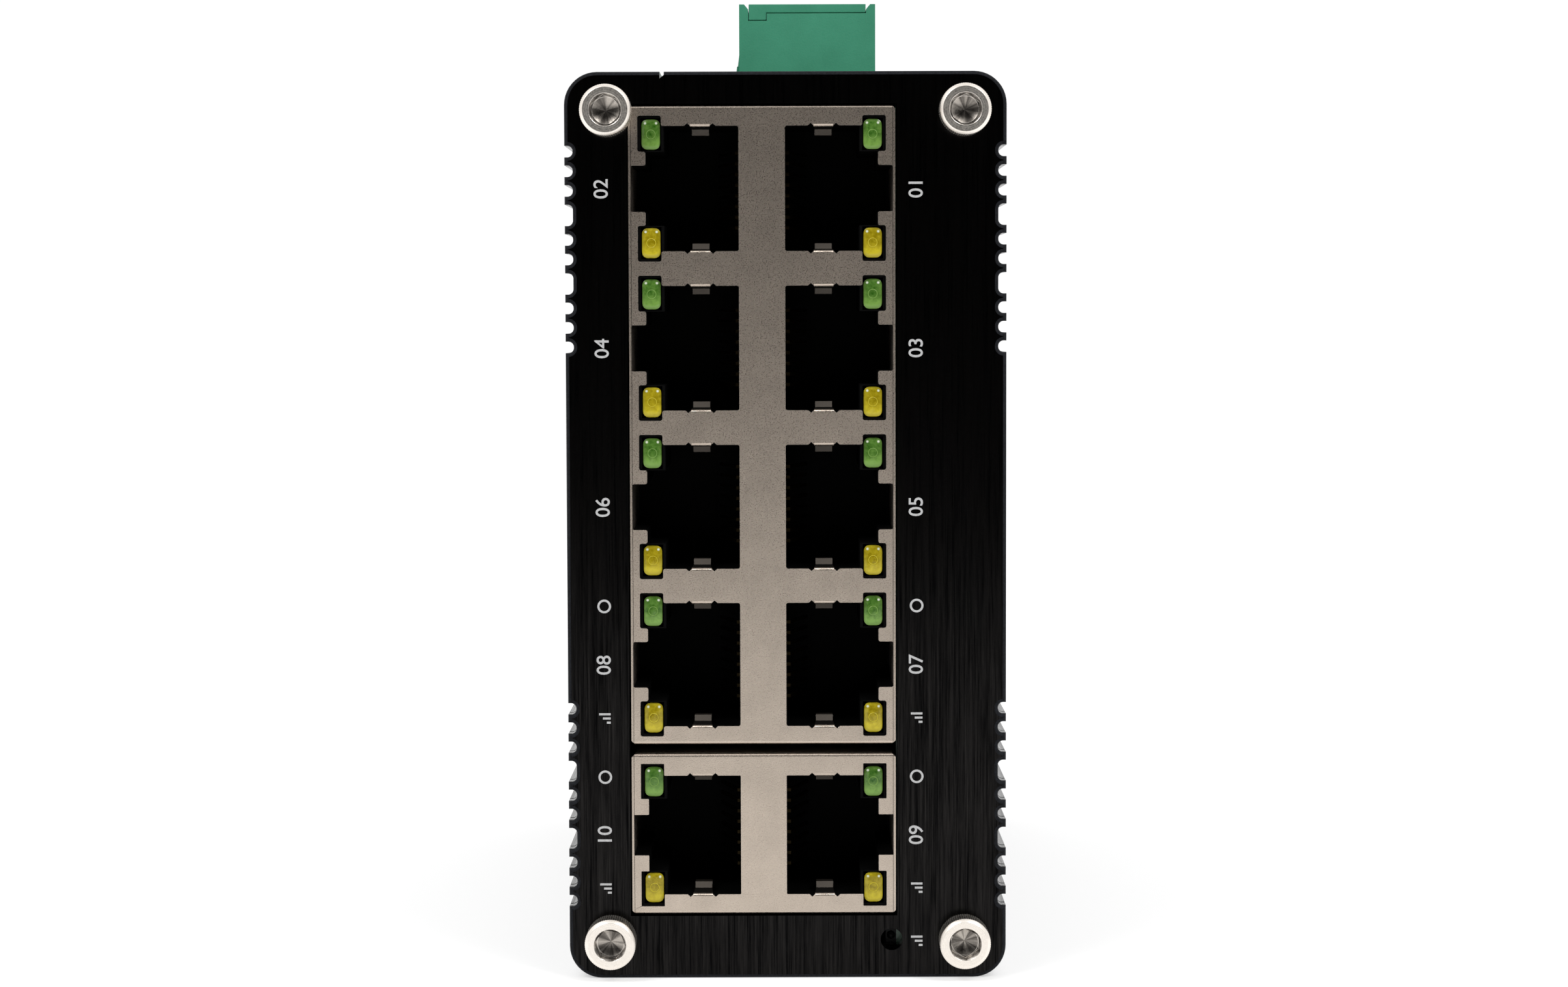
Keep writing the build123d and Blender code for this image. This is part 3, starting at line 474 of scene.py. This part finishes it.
zinc = grained(
    "zinc_plating",
    ZINC_FLAKES,
    colours=(ZINC_DARK, ZINC_LIGHT),
    rough=(0.26, 0.44),
    bump=ZINC_BUMP,
    detail=5,
    Metallic=1.0,
)
clip = worked_copy("din_clip_plate", "rail_clip")
give(clip, zinc)
break_edges(clip, CLIP_EDGE)
for node in ("din_clip_spring", "din_clip_screws"):
    give(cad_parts[node], zinc)

# Main board and what is soldered to it
# A glass-fibre board with green solder mask stands upright in the profile's ribs and carries the
# jacks, the transformers behind them, the switch chip under its cooler and the supply parts.

MASK_DARK = (0.006, 0.045, 0.018, 1)
MASK_LIGHT = (0.012, 0.085, 0.035, 1)
PACKAGE_DARK = (0.012, 0.012, 0.013, 1)
PACKAGE_LIGHT = (0.03, 0.03, 0.031, 1)
PACKAGE_GRAIN = 9000
PACKAGE_BUMP = 0.01 * MM
TRACK_SPOTS = 400
BARE_METAL = (0.72, 0.72, 0.73, 1)
DRAWN_LINES = (4000, 4000, 80)

board_mask, mask_tree, mask_shader = new_material("solder_mask", Coat_Weight=0.3)
tracks = stretched_noise(mask_tree, TRACK_SPOTS, detail=1)
vary(mask_shader, "Base Color", tracks, MASK_DARK, MASK_LIGHT, start=0.48, stop=0.52)
vary(mask_shader, "Roughness", tracks, low=0.3, high=0.4)
give(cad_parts["main_circuit_board"], board_mask)

chip_package = grained(
    "chip_package",
    PACKAGE_GRAIN,
    colours=(PACKAGE_DARK, PACKAGE_LIGHT),
    rough=(0.55, 0.7),
    bump=PACKAGE_BUMP,
    detail=2,
)
for node in (
    "switch_chip",
    "poe_controllers",
    "line_transformers",
    "power_transistors",
    "memory_chip",
    "power_inductor",
):
    give(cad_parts[node], chip_package)

bare_aluminium = grained(
    "bare_aluminium", DRAWN_LINES, rough=(0.25, 0.4), Metallic=1.0, Base_Color=BARE_METAL
)
for node in ("switch_heat_sink", "storage_capacitors", "timing_crystal"):
    give(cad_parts[node], bare_aluminium)

# Jack mouldings and contacts
# Each block of jacks is a glass-filled black moulding with a cavity for every plug, and eight
# gold-plated wires that fold back into each cavity, their gold painted dark as the shade deep inside.

MOULDING_DARK = (0.0008, 0.0008, 0.0008, 1)
MOULDING_LIGHT = (0.002, 0.002, 0.002, 1)
MOULDING_FIBRES = 6000
# The contacts' gold is painted dark as the shade in the cavities.
CONTACT_GOLD_PAINTED_SHADE = (0.018, 0.013, 0.006, 1)
CONTACT_WEAR = 3000

jack_black = grained(
    "jack_moulding",
    MOULDING_FIBRES,
    colours=(MOULDING_DARK, MOULDING_LIGHT),
    rough=(0.5, 0.65),
    detail=3,
    Specular_IOR_Level=0.04,
)
for node in ("upper_jack_body", "lower_jack_body"):
    give(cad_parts[node], jack_black)

# Contact gold painted dark as painted shade.
contact_gold = grained(
    "contact_gold", CONTACT_WEAR, rough=(0.3, 0.5), detail=3, Metallic=1.0, Base_Color=CONTACT_GOLD_PAINTED_SHADE
)
for node in ("upper_jack_contacts", "lower_jack_contacts"):
    give(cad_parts[node], contact_gold)

# Jack shields
# Nickel-plated sheet folded round each block of jacks. Its windows, earthing fingers and small
# corner cuts are stamped, and every bevelled edge takes a paler metal, partly the bright cut edge and
# partly a painted highlight, against the satin, speckled faces. Where the fingers run back into the
# ports they carry painted shade: a near-black painted shadow on their flat stretch and a darker
# painted shade on their bows.

SHIELD_EDGE = 0.045 * MM
SHIELD_SEAM_INSET = 0.23 * MM
SHIELD_SEAM = 0.022 * MM
FINGER_FLAT_START = 0.3 * MM
FINGER_FLAT_STOP = 2.3 * MM
FINGER_STOP = 5.1 * MM
FINGER_ASIDE = 0.5
# Slots for the fingers' painted shadow and painted shade.
PAINTED_SHADOW_FINISH, SHADED_FINISH = 2, 3
MIX_FIRST, MIX_SECOND, MIX_RESULT = 6, 7, 2  # where the Mix node keeps its colour sockets
NICKEL_DARK = (0.44, 0.375, 0.315, 1)
NICKEL_LIGHT = (0.58, 0.495, 0.415, 1)
# Near-black painted shadow and darker painted shade for the fingers inside the ports.
NICKEL_PAINTED_SHADOW = (0.006, 0.0055, 0.005, 1)
NICKEL_SHADE = (0.065, 0.057, 0.049, 1)
NICKEL_SEAM = (0.03, 0.026, 0.022, 1)
# Paler edge metal: partly the bright cut edge, partly a painted highlight.
NICKEL_CUT_AND_HIGHLIGHT = (0.8, 0.75, 0.68, 1)
NICKEL_SPECKLE = 9000
NICKEL_BLOTCHES = 350
NICKEL_GRAIN = 7000
SPECKLE_SHARE = 0.7
SPECKLE_BUMP = 0.01 * MM

nickel, nickel_tree, nickel_shader = new_material("satin_nickel", Metallic=1.0)
speckle = stretched_noise(nickel_tree, NICKEL_SPECKLE, detail=3, roughness=0.7)
blotches = stretched_noise(nickel_tree, NICKEL_BLOTCHES)
mottle = blend(nickel_tree, speckle, blotches, SPECKLE_SHARE)
low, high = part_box("upper_jack_shield")
place = add_node(nickel_tree, "ShaderNodeTexCoord").outputs["Object"]
across = add_node(nickel_tree, "ShaderNodeSeparateXYZ", Vector=place).outputs["X"]
off_centre = calc(nickel_tree, "ABSOLUTE", calc(nickel_tree, "SUBTRACT", across, (low.x + high.x) / 2))
seam_place = (high.x - low.x) / 2 - SHIELD_SEAM_INSET
seam = calc(nickel_tree, "COMPARE", off_centre, seam_place, SHIELD_SEAM)
seamed = add_node(nickel_tree, "ShaderNodeMix", {"data_type": "RGBA"}, Factor=seam)
vary(seamed, MIX_FIRST, mottle, NICKEL_DARK, NICKEL_LIGHT, start=0.36, stop=0.64)
seamed.inputs[MIX_SECOND].default_value = NICKEL_SEAM
nickel_tree.links.new(seamed.outputs[MIX_RESULT], nickel_shader.inputs["Base Color"])
vary(nickel_shader, "Roughness", speckle, low=0.25, high=0.36)
roughen(nickel_shader, speckle, SPECKLE_BUMP)
# Every bevelled edge gets this paler metal, partly a painted highlight.
nickel_cut_and_highlight = grained(
    "cut_nickel_and_painted_highlight", NICKEL_GRAIN, rough=(0.2, 0.36), detail=2, Metallic=1.0, Base_Color=NICKEL_CUT_AND_HIGHLIGHT
)
# Painted shade on the fingers' bows and a near-black painted shadow on their flat stretch.
nickel_shade = grained(
    "shaded_nickel", NICKEL_GRAIN, rough=(0.4, 0.55), detail=2, Metallic=1.0, Base_Color=NICKEL_SHADE
)
nickel_painted_shadow = grained(
    "painted_shadow_nickel", NICKEL_GRAIN, rough=(0.5, 0.65), detail=2, Specular_IOR_Level=0.0, Base_Color=NICKEL_PAINTED_SHADOW
)
for node in ("upper_jack_shield", "lower_jack_shield"):
    shield = worked_copy(node, node.replace("jack_shield", "shield_dressed"))
    give(shield, nickel, edge=nickel_cut_and_highlight)
    for finish in (nickel_painted_shadow, nickel_shade):
        shield.data.materials.append(finish)
    shield_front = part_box(node)[0].y
    # Finger faces inside the ports: painted shadow on the flat stretch, painted shade on the bows.
    for face in shield.data.polygons:
        inward = face.center.y - shield_front
        if FINGER_FLAT_START < inward < FINGER_STOP and abs(face.normal.x) < FINGER_ASIDE:
            face.material_index = PAINTED_SHADOW_FINISH if inward < FINGER_FLAT_STOP else SHADED_FINISH
    # The bevels take the paler edge metal, partly a painted highlight.
    break_edges(shield, SHIELD_EDGE, segments=1, angle=40, finish=1)

# Port lamps
# Each port has a green and a yellow light guide in the corners of its window: a clear-tinted peg
# with cut corners, a bevelled and softly domed face and a small moulded ring in its middle.

LENS_CORNER = 0.56 * MM
LENS_RIM = 0.24 * MM
LENS_CROWN = 0.12 * MM
LENS_DOME = 0.14 * MM
LENS_RING = 0.42 * MM
LENS_RING_WIRE = 0.035 * MM
LENS_RING_GLOW = 0.55
# Painted glints: paler spots in the lenses' upper corners.
GLINT_ACROSS = 0.6
GLINT_UP = 0.74
LENS_PAINTED_GLINT = (0.55, 0.6, 0.48, 1)
LENS_GLOW_REACH = (0.8, 0.8, 0.4)
GLINT_FLATNESS = 1.7
GLINT_INNER = 0.004
GLINT_OUTER = 0.03
LENS_CLOUD = 2500
LENS_CLOUD_BUMP = 0.01 * MM
CLOUD_SHARE = 0.9
RIM_PALE = 0.2
RIM_STEEPNESS = 3
# Painted light: the lower end is painted paler, as lit from below.
LOWER_PAINTED_LIGHT = 0.75
UPPER_START = 0.75
DOME_SHARE = 0.85
SAME_POINT = 1e7
GREEN_DEEP = (0.014, 0.07, 0.003, 1)
GREEN_PALE = (0.15, 0.28, 0.055, 1)
YELLOW_DEEP = (0.16, 0.12, 0.0, 1)
YELLOW_PALE = (0.47, 0.39, 0.02, 1)


def squared_distance(tree, across, up):
    """Square of the distance between two points that lie this far apart across and up."""
    return calc(tree, "ADD", calc(tree, "POWER", across, 2), calc(tree, "POWER", up, 2))


def tinted_lens(name, deep, pale):
    """Tinted cloudy plastic, paler at its ring, rim and upper end, with painted light paling its lower end
    and painted glints in its upper corners.
    """
    material, tree, shader = new_material(
        name, Roughness=0.12, Subsurface_Weight=0.2, Subsurface_Scale=0.3 * MM, Specular_IOR_Level=0.3
    )
    shader.inputs["Subsurface Radius"].default_value = LENS_GLOW_REACH
    place = add_node(tree, "ShaderNodeUVMap", {"uv_map": "face"}).outputs["UV"]
    parts = add_node(tree, "ShaderNodeSeparateXYZ", Vector=place)
    across, up = parts.outputs["X"], parts.outputs["Y"]
    # The lower end is painted paler as painted light from below; the upper end is paler too.
    lower_painted_light = calc(tree, "MAXIMUM", calc(tree, "MULTIPLY", up, -LOWER_PAINTED_LIGHT), 0.0)
    upper_end = calc(tree, "MAXIMUM", calc(tree, "SUBTRACT", up, UPPER_START), 0.0)
    ends = calc(tree, "ADD", lower_painted_light, upper_end)
    sideways = calc(tree, "POWER", calc(tree, "ABSOLUTE", across), RIM_STEEPNESS)
    rim = calc(tree, "MULTIPLY_ADD", sideways, RIM_PALE, ends)
    low, high = loose_boxes("upper_green_lamps")[0]
    real_x = calc(tree, "MULTIPLY", across, (high.x - low.x) / 2 / MM)
    real_z = calc(tree, "MULTIPLY", up, (high.z - low.z) / 2 / MM)
    from_middle = calc(tree, "SQRT", squared_distance(tree, real_x, real_z))
    ring = calc(tree, "COMPARE", from_middle, LENS_RING / MM, LENS_RING_WIRE / MM)
    marked = calc(tree, "MULTIPLY_ADD", ring, LENS_RING_GLOW, rim)
    cloud = stretched_noise(tree, LENS_CLOUD, detail=3)
    shade_of_lens = calc(tree, "MULTIPLY_ADD", cloud, CLOUD_SHARE, marked)
    # Painted glints in the upper corners.
    aside = calc(tree, "SUBTRACT", calc(tree, "ABSOLUTE", across), GLINT_ACROSS)
    above = calc(tree, "MULTIPLY", calc(tree, "SUBTRACT", up, GLINT_UP), GLINT_FLATNESS)
    apart = squared_distance(tree, aside, above)
    glint_mix = add_node(tree, "ShaderNodeMix", {"data_type": "RGBA"})
    vary(glint_mix, "Factor", apart, low=1.0, high=0.0, start=GLINT_INNER, stop=GLINT_OUTER)
    vary(glint_mix, MIX_FIRST, shade_of_lens, deep, pale, start=0.25, stop=1.3)
    glint_mix.inputs[MIX_SECOND].default_value = LENS_PAINTED_GLINT
    tree.links.new(glint_mix.outputs[MIX_RESULT], shader.inputs["Base Color"])
    roughen(shader, cloud, LENS_CLOUD_BUMP)
    return material


def lamp_peg(low, high):
    """One light guide that fills the box from low to high, its face towards -Y."""
    size, centre = high - low, (low + high) / 2
    bpy.ops.object.select_all(action="DESELECT")
    bpy.ops.mesh.primitive_cube_add(size=1, location=centre)
    peg = bpy.context.object
    peg.scale = size
    bpy.ops.object.transform_apply(location=True, rotation=False, scale=True)

    def runs_back(edge):
        a, b = (peg.data.vertices[v].co for v in edge.vertices)
        return abs(a.y - b.y) > size.y / 2

    choose(peg, "EDGE", runs_back)
    bpy.ops.mesh.bevel(offset=LENS_CORNER, segments=4, affect="EDGES")
    choose(peg, "FACE", lambda face: face.normal.y < -FACING)
    bpy.ops.mesh.inset(thickness=LENS_RIM)
    bpy.ops.transform.translate(value=(0, -LENS_DOME * DOME_SHARE, 0))
    bpy.ops.mesh.inset(thickness=LENS_CROWN)
    bpy.ops.transform.translate(value=(0, -LENS_DOME * (1 - DOME_SHARE), 0))
    bpy.ops.object.mode_set(mode="OBJECT")
    bpy.ops.object.shade_smooth_by_angle(angle=math.radians(25))
    bpy.ops.mesh.primitive_torus_add(
        major_radius=LENS_RING,
        minor_radius=LENS_RING_WIRE,
        major_segments=28,
        minor_segments=6,
        location=(centre.x, low.y - LENS_DOME, centre.z),
        rotation=(math.pi / 2, 0, 0),
    )
    ring = bpy.context.object
    bpy.ops.object.shade_smooth()
    pick(peg, ring)
    bpy.ops.object.transform_apply(location=True, rotation=True, scale=True)
    bpy.ops.object.join()
    own_map(peg, "face", lambda co: ((co.x - centre.x) / size.x * 2, (co.z - centre.z) / size.z * 2))
    return peg


def loose_boxes(node):
    """Low and high corner of each separate solid of a node."""
    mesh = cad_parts[node].data
    corner = {}
    groups = list(range(len(mesh.vertices)))

    def root(index):
        while groups[index] != index:
            groups[index] = groups[groups[index]]
            index = groups[index]
        return index

    for vertex in mesh.vertices:
        key = tuple(round(c * SAME_POINT) for c in vertex.co)
        groups[vertex.index] = corner.setdefault(key, vertex.index)
    for edge in mesh.edges:
        a, b = (root(v) for v in edge.vertices)
        groups[a] = b
    boxes = {}
    for vertex in mesh.vertices:
        low, high = boxes.setdefault(root(vertex.index), (vertex.co.copy(), vertex.co.copy()))
        for axis in range(3):
            low[axis] = min(low[axis], vertex.co[axis])
            high[axis] = max(high[axis], vertex.co[axis])
    return sorted(boxes.values(), key=lambda pair: tuple(pair[0]))


lens_green = tinted_lens("green_lamp_lens", GREEN_DEEP, GREEN_PALE)
lens_yellow = tinted_lens("yellow_lamp_lens", YELLOW_DEEP, YELLOW_PALE)
for block in ("upper", "lower"):
    for colour, lens in (("green", lens_green), ("yellow", lens_yellow)):
        node = f"{block}_{colour}_lamps"
        pegs = [lamp_peg(low, high) for low, high in loose_boxes(node)]
        pick(*pegs)
        bpy.ops.object.join()
        pegs[0].name = f"{block}_{colour}_lenses"
        give(pegs[0], lens)
        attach(pegs[0], "case")
        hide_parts(node)

# Supply lamp
# A clear side-looking chip lamp on the board's front edge, seen through a small hole, its body
# painted near black as painted shade deep in the hole.

# The lamp's clear body is painted near black as painted shade.
LAMP_SHADE_DEEP = (0.002, 0.002, 0.002, 1)
LAMP_SHADE_PALE = (0.01, 0.01, 0.01, 1)
LAMP_HAZE = 2500

# Painted shade for the lamp in its hole.
lamp_painted_shade = grained(
    "clear_lamp_painted_shade", LAMP_HAZE, colours=(LAMP_SHADE_DEEP, LAMP_SHADE_PALE), detail=2, Roughness=0.4, Specular_IOR_Level=0.1
)
give(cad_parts["power_lamp"], lamp_painted_shade)

# Supply header and plug
# Both are satin green mouldings. The header is soldered to the board with bent tinned pins, and
# the plug has a snapped-in lid over its three wire clamps, each a tinned cage on a slotted screw.

TERMINAL_DEEP = (0.03, 0.2, 0.115, 1)
TERMINAL_PALE = (0.045, 0.26, 0.155, 1)
TINNED = (0.66, 0.65, 0.62, 1)
TINNED_SMEARS = 1500
MOULDED_EDGE = 0.1 * MM
PEBBLE_GRAIN = 5000
PEBBLE_BUMP = 0.012 * MM
FLOW_CLOUDS = 180
POLES = (1, 2, 3)

terminal_green, green_tree, green_shader = new_material("terminal_green", Specular_IOR_Level=0.4)
pebble = stretched_noise(green_tree, PEBBLE_GRAIN, detail=3)
flow = stretched_noise(green_tree, FLOW_CLOUDS, detail=3)
vary(green_shader, "Base Color", flow, TERMINAL_DEEP, TERMINAL_PALE, start=0.2, stop=0.8)
vary(green_shader, "Roughness", pebble, low=0.42, high=0.6)
roughen(green_shader, pebble, PEBBLE_BUMP)
for node, body in (
    ("power_header", "case"),
    ("plug_housing", "terminal_plug"),
    ("plug_cover", "terminal_plug"),
):
    piece = worked_copy(node, f"{node}_dressed", body)
    give(piece, terminal_green)
    break_edges(piece, MOULDED_EDGE)

tinned = grained("tinned_metal", TINNED_SMEARS, rough=(0.25, 0.45), Metallic=1.0, Base_Color=TINNED)
clamps = [f"clamp_{part}_{pole}" for part in ("cage", "screw") for pole in POLES]
for node in ["header_pins", "plug_contacts"] + clamps:
    give(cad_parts[node], tinned)

# Front plate
# A 2 mm plate, brushed upright before it was anodised, with a window for the jacks. Its printed
# port numbers stand beside the ports and read upwards.

PRINT_GREY = (0.36, 0.36, 0.36, 1)
PRINT_WORN = (0.44, 0.44, 0.44, 1)
PRINT_RISE = 0.012 * MM
PRINT_SPREAD = 0.015 * MM
PRINT_WEAR = 4000
DIGIT_HEIGHT = 1.3 * MM
DIGIT_PER_SIZE = 0.68
MARK_RADIUS = 0.55 * MM
MARK_STROKE = 0.2 * MM
MARK_RISE = 0.5 * MM
BARS = 3
MARKED_ROWS = 2
PORT_ROWS = 5
HEIGHT_DIGITS = 5
NUMBER_LEFT_X = -17.3 * MM
NUMBER_RIGHT_X = 12.3 * MM

dressed_plate("front_plate", "front_plate_dressed")
front_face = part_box("front_plate")[0].y

print_ink = grained("print_ink", PRINT_WEAR, colours=(PRINT_GREY, PRINT_WORN), detail=3, Roughness=0.6)


def printed(words, x, z, height):
    """Words that read upwards, centred at x and z on the front plate, as a mesh a hair proud of it."""
    bpy.ops.object.select_all(action="DESELECT")
    bpy.ops.object.text_add(location=(0, 0, 0))
    text = bpy.context.object
    text.data.body = words
    text.data.align_x = "CENTER"
    text.data.align_y = "CENTER"
    text.data.size = height / DIGIT_PER_SIZE
    text.data.extrude = PRINT_RISE
    text.data.offset = PRINT_SPREAD
    text.data.resolution_u = 4
    bpy.ops.object.convert(target="MESH")
    turn = Matrix.Rotation(math.pi / 2, 4, "X") @ Matrix.Rotation(math.pi / 2, 4, "Z")
    text.data.transform(Matrix.Translation((x, front_face, z)) @ turn)
    return text


def printed_ring(x, z):
    """Plain ring beside a green lamp."""
    bpy.ops.object.select_all(action="DESELECT")
    bpy.ops.mesh.primitive_torus_add(
        major_radius=MARK_RADIUS, minor_radius=MARK_STROKE / 2, major_segments=32, minor_segments=4
    )
    ring = bpy.context.object
    flat = Matrix.Diagonal((1, 1, 2 * PRINT_RISE / MARK_STROKE, 1))
    ring.data.transform(Matrix.Translation((x, front_face, z)) @ Matrix.Rotation(math.pi / 2, 4, "X") @ flat)
    return ring


def printed_bars(x, z):
    """Three plain bars of rising length beside a yellow lamp."""
    bars = []
    for step in range(BARS):
        reach = MARK_RADIUS * (step + 1) * 2 / BARS
        bpy.ops.object.select_all(action="DESELECT")
        bpy.ops.mesh.primitive_cube_add(size=1)
        bar = bpy.context.object
        bar.data.transform(Matrix.Diagonal((reach, 2 * PRINT_RISE, MARK_STROKE, 1)))
        left = x + MARK_RADIUS - reach / 2
        bar.data.transform(Matrix.Translation((left, front_face, z + (step - 1) * 2 * MARK_STROKE)))
        bars.append(bar)
    return bars


def lamp_heights(colour):
    """Heights of one colour's lamps, from the lowest up."""
    nodes = [f"{block}_{colour}_lamps" for block in ("lower", "upper")]
    boxes = [box for node in nodes for box in loose_boxes(node)]
    return sorted({round((low.z + high.z) / 2, HEIGHT_DIGITS) for low, high in boxes})


prints = []
for row, (green_z, yellow_z) in enumerate(zip(lamp_heights("green"), lamp_heights("yellow"))):
    last = 2 * (PORT_ROWS - row)
    port_z = (green_z + yellow_z) / 2
    for x, number in ((NUMBER_LEFT_X, last), (NUMBER_RIGHT_X, last - 1)):
        prints.append(printed(f"{number:02d}", x, port_z, DIGIT_HEIGHT))
        if row < MARKED_ROWS:
            prints.append(printed_ring(x, green_z + MARK_RISE))
            prints += printed_bars(x, yellow_z)
prints += printed_bars(NUMBER_RIGHT_X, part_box("power_lamp")[0].z + MARK_RADIUS)
pick(*prints)
bpy.ops.object.join()
prints[0].name = "port_numbers"
give(prints[0], print_ink)
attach(prints[0], "case")
plate_screws("front_screws", "front_plate_screws", front_face, math.pi / 2)
bpy.data.objects.remove(screw_master)

# Studio
# A pale floor that sweeps up behind, a bright surround, a dark card behind the camera that keeps the
# black plate black, a soft box on each side, and the photograph's camera.

CAMERA_PLACE = Vector((0.115, -337.8, 63.4)) * MM
CAMERA_PITCH = 0.0591
CAMERA_YAW = -0.0012
CAMERA_ROLL = -0.003
PHOTO_WIDTH = 2408
PHOTO_FOCAL = 4700
SENSOR_WIDTH = 36
FLOOR_SIZE = 6.0
SWEEP_RADIUS = 1.6
FLOOR_COLOUR = (0.5, 0.5, 0.5, 1)
FLOOR_GLOW = 0.5
SURROUND = 1.0
SOFT_BOX_SIZE = 0.24
SOFT_BOX_POWER = 2.5
SOFT_BOX_AIM = Vector((0, 0, 0.045))
LEFT_BOX_PLACE = Vector((-0.3, -0.36, 0.44))
RIGHT_BOX_PLACE = Vector((0.3, -0.36, 0.44))
CARD_PLACE = Vector((0, -0.4, 0.23))
CARD_WIDTH = 0.84
CARD_HEIGHT = 0.46
CARD_GREY = (0.035, 0.035, 0.035, 1)

bpy.ops.object.select_all(action="DESELECT")
bpy.ops.mesh.primitive_plane_add(size=FLOOR_SIZE, location=(0, 0, 0))
floor = bpy.context.object
floor.name = "floor"
corners = floor.data.vertices
choose(floor, "EDGE", lambda edge: all(corners[v].co.y > 0 for v in edge.vertices))
bpy.ops.mesh.extrude_region_move(TRANSFORM_OT_translate={"value": (0, 0, FLOOR_SIZE / 2)})
bpy.ops.object.mode_set(mode="OBJECT")
corners = floor.data.vertices
choose(
    floor,
    "EDGE",
    lambda edge: all(corners[v].co.y > 0 and corners[v].co.z < SWEEP_RADIUS for v in edge.vertices),
)
bpy.ops.mesh.bevel(offset=SWEEP_RADIUS, segments=16, affect="EDGES")
bpy.ops.object.mode_set(mode="OBJECT")
bpy.ops.object.shade_smooth()
floor_paint, _, floor_shader = new_material("floor_paint", Roughness=0.7, Base_Color=FLOOR_COLOUR)
floor_shader.inputs["Emission Color"].default_value = (1, 1, 1, 1)
floor_shader.inputs["Emission Strength"].default_value = FLOOR_GLOW
give(floor, floor_paint)

pick(floor)
bpy.ops.mesh.primitive_plane_add(size=1, location=CARD_PLACE, rotation=(math.pi / 2, 0, 0))
card = bpy.context.object
card.name = "dark_card"
card.scale = (CARD_WIDTH, CARD_HEIGHT, 1)
card.visible_camera = False
give(card, new_material("card_paper", Base_Color=CARD_GREY, Roughness=0.9)[0])

world = bpy.data.worlds.new("studio")
bpy.context.scene.world = world
world.use_nodes = True
sky = world.node_tree
camera_ray = add_node(sky, "ShaderNodeLightPath").outputs["Is Camera Ray"]
seen = sky.nodes["Background"]
seen.inputs["Color"].default_value = (1, 1, 1, 1)
lighting = add_node(sky, "ShaderNodeBackground", Color=(1, 1, 1, 1), Strength=SURROUND)
choice = add_node(sky, "ShaderNodeMixShader", Fac=camera_ray)
sky.links.new(lighting.outputs[0], choice.inputs[1])
sky.links.new(seen.outputs[0], choice.inputs[2])
sky.links.new(choice.outputs[0], sky.nodes["World Output"].inputs["Surface"])


def soft_light(name, place):
    """Square area light aimed at the middle of the case."""
    lamp = bpy.data.lights.new(name, "AREA")
    lamp.shape = "SQUARE"
    lamp.size = SOFT_BOX_SIZE
    lamp.energy = SOFT_BOX_POWER
    light = bpy.data.objects.new(name, lamp)
    bpy.context.scene.collection.objects.link(light)
    light.location = place
    light.rotation_euler = (SOFT_BOX_AIM - light.location).to_track_quat("-Z", "Y").to_euler()
    light.visible_camera = False


soft_light("left_light", LEFT_BOX_PLACE)
soft_light("right_light", RIGHT_BOX_PLACE)

pitch, yaw, roll = CAMERA_PITCH, CAMERA_YAW, CAMERA_ROLL
forward = Vector((math.sin(yaw) * math.cos(pitch), math.cos(yaw) * math.cos(pitch), -math.sin(pitch)))
level = Vector((math.cos(yaw), -math.sin(yaw), 0))
upward = level.cross(forward)
right = level * math.cos(roll) + upward * math.sin(roll)
top = upward * math.cos(roll) - level * math.sin(roll)
lens = bpy.data.cameras.new("photo_camera")
lens.sensor_width = SENSOR_WIDTH
lens.lens = PHOTO_FOCAL / PHOTO_WIDTH * SENSOR_WIDTH
lens.clip_start = 0.01
camera = bpy.data.objects.new("photo_camera", lens)
bpy.context.scene.collection.objects.link(camera)
facing = Matrix((right, top, -forward)).transposed().to_4x4()
camera.matrix_world = Matrix.Translation(CAMERA_PLACE) @ facing
bpy.context.scene.camera = camera
bpy.context.scene.view_settings.view_transform = "Standard"
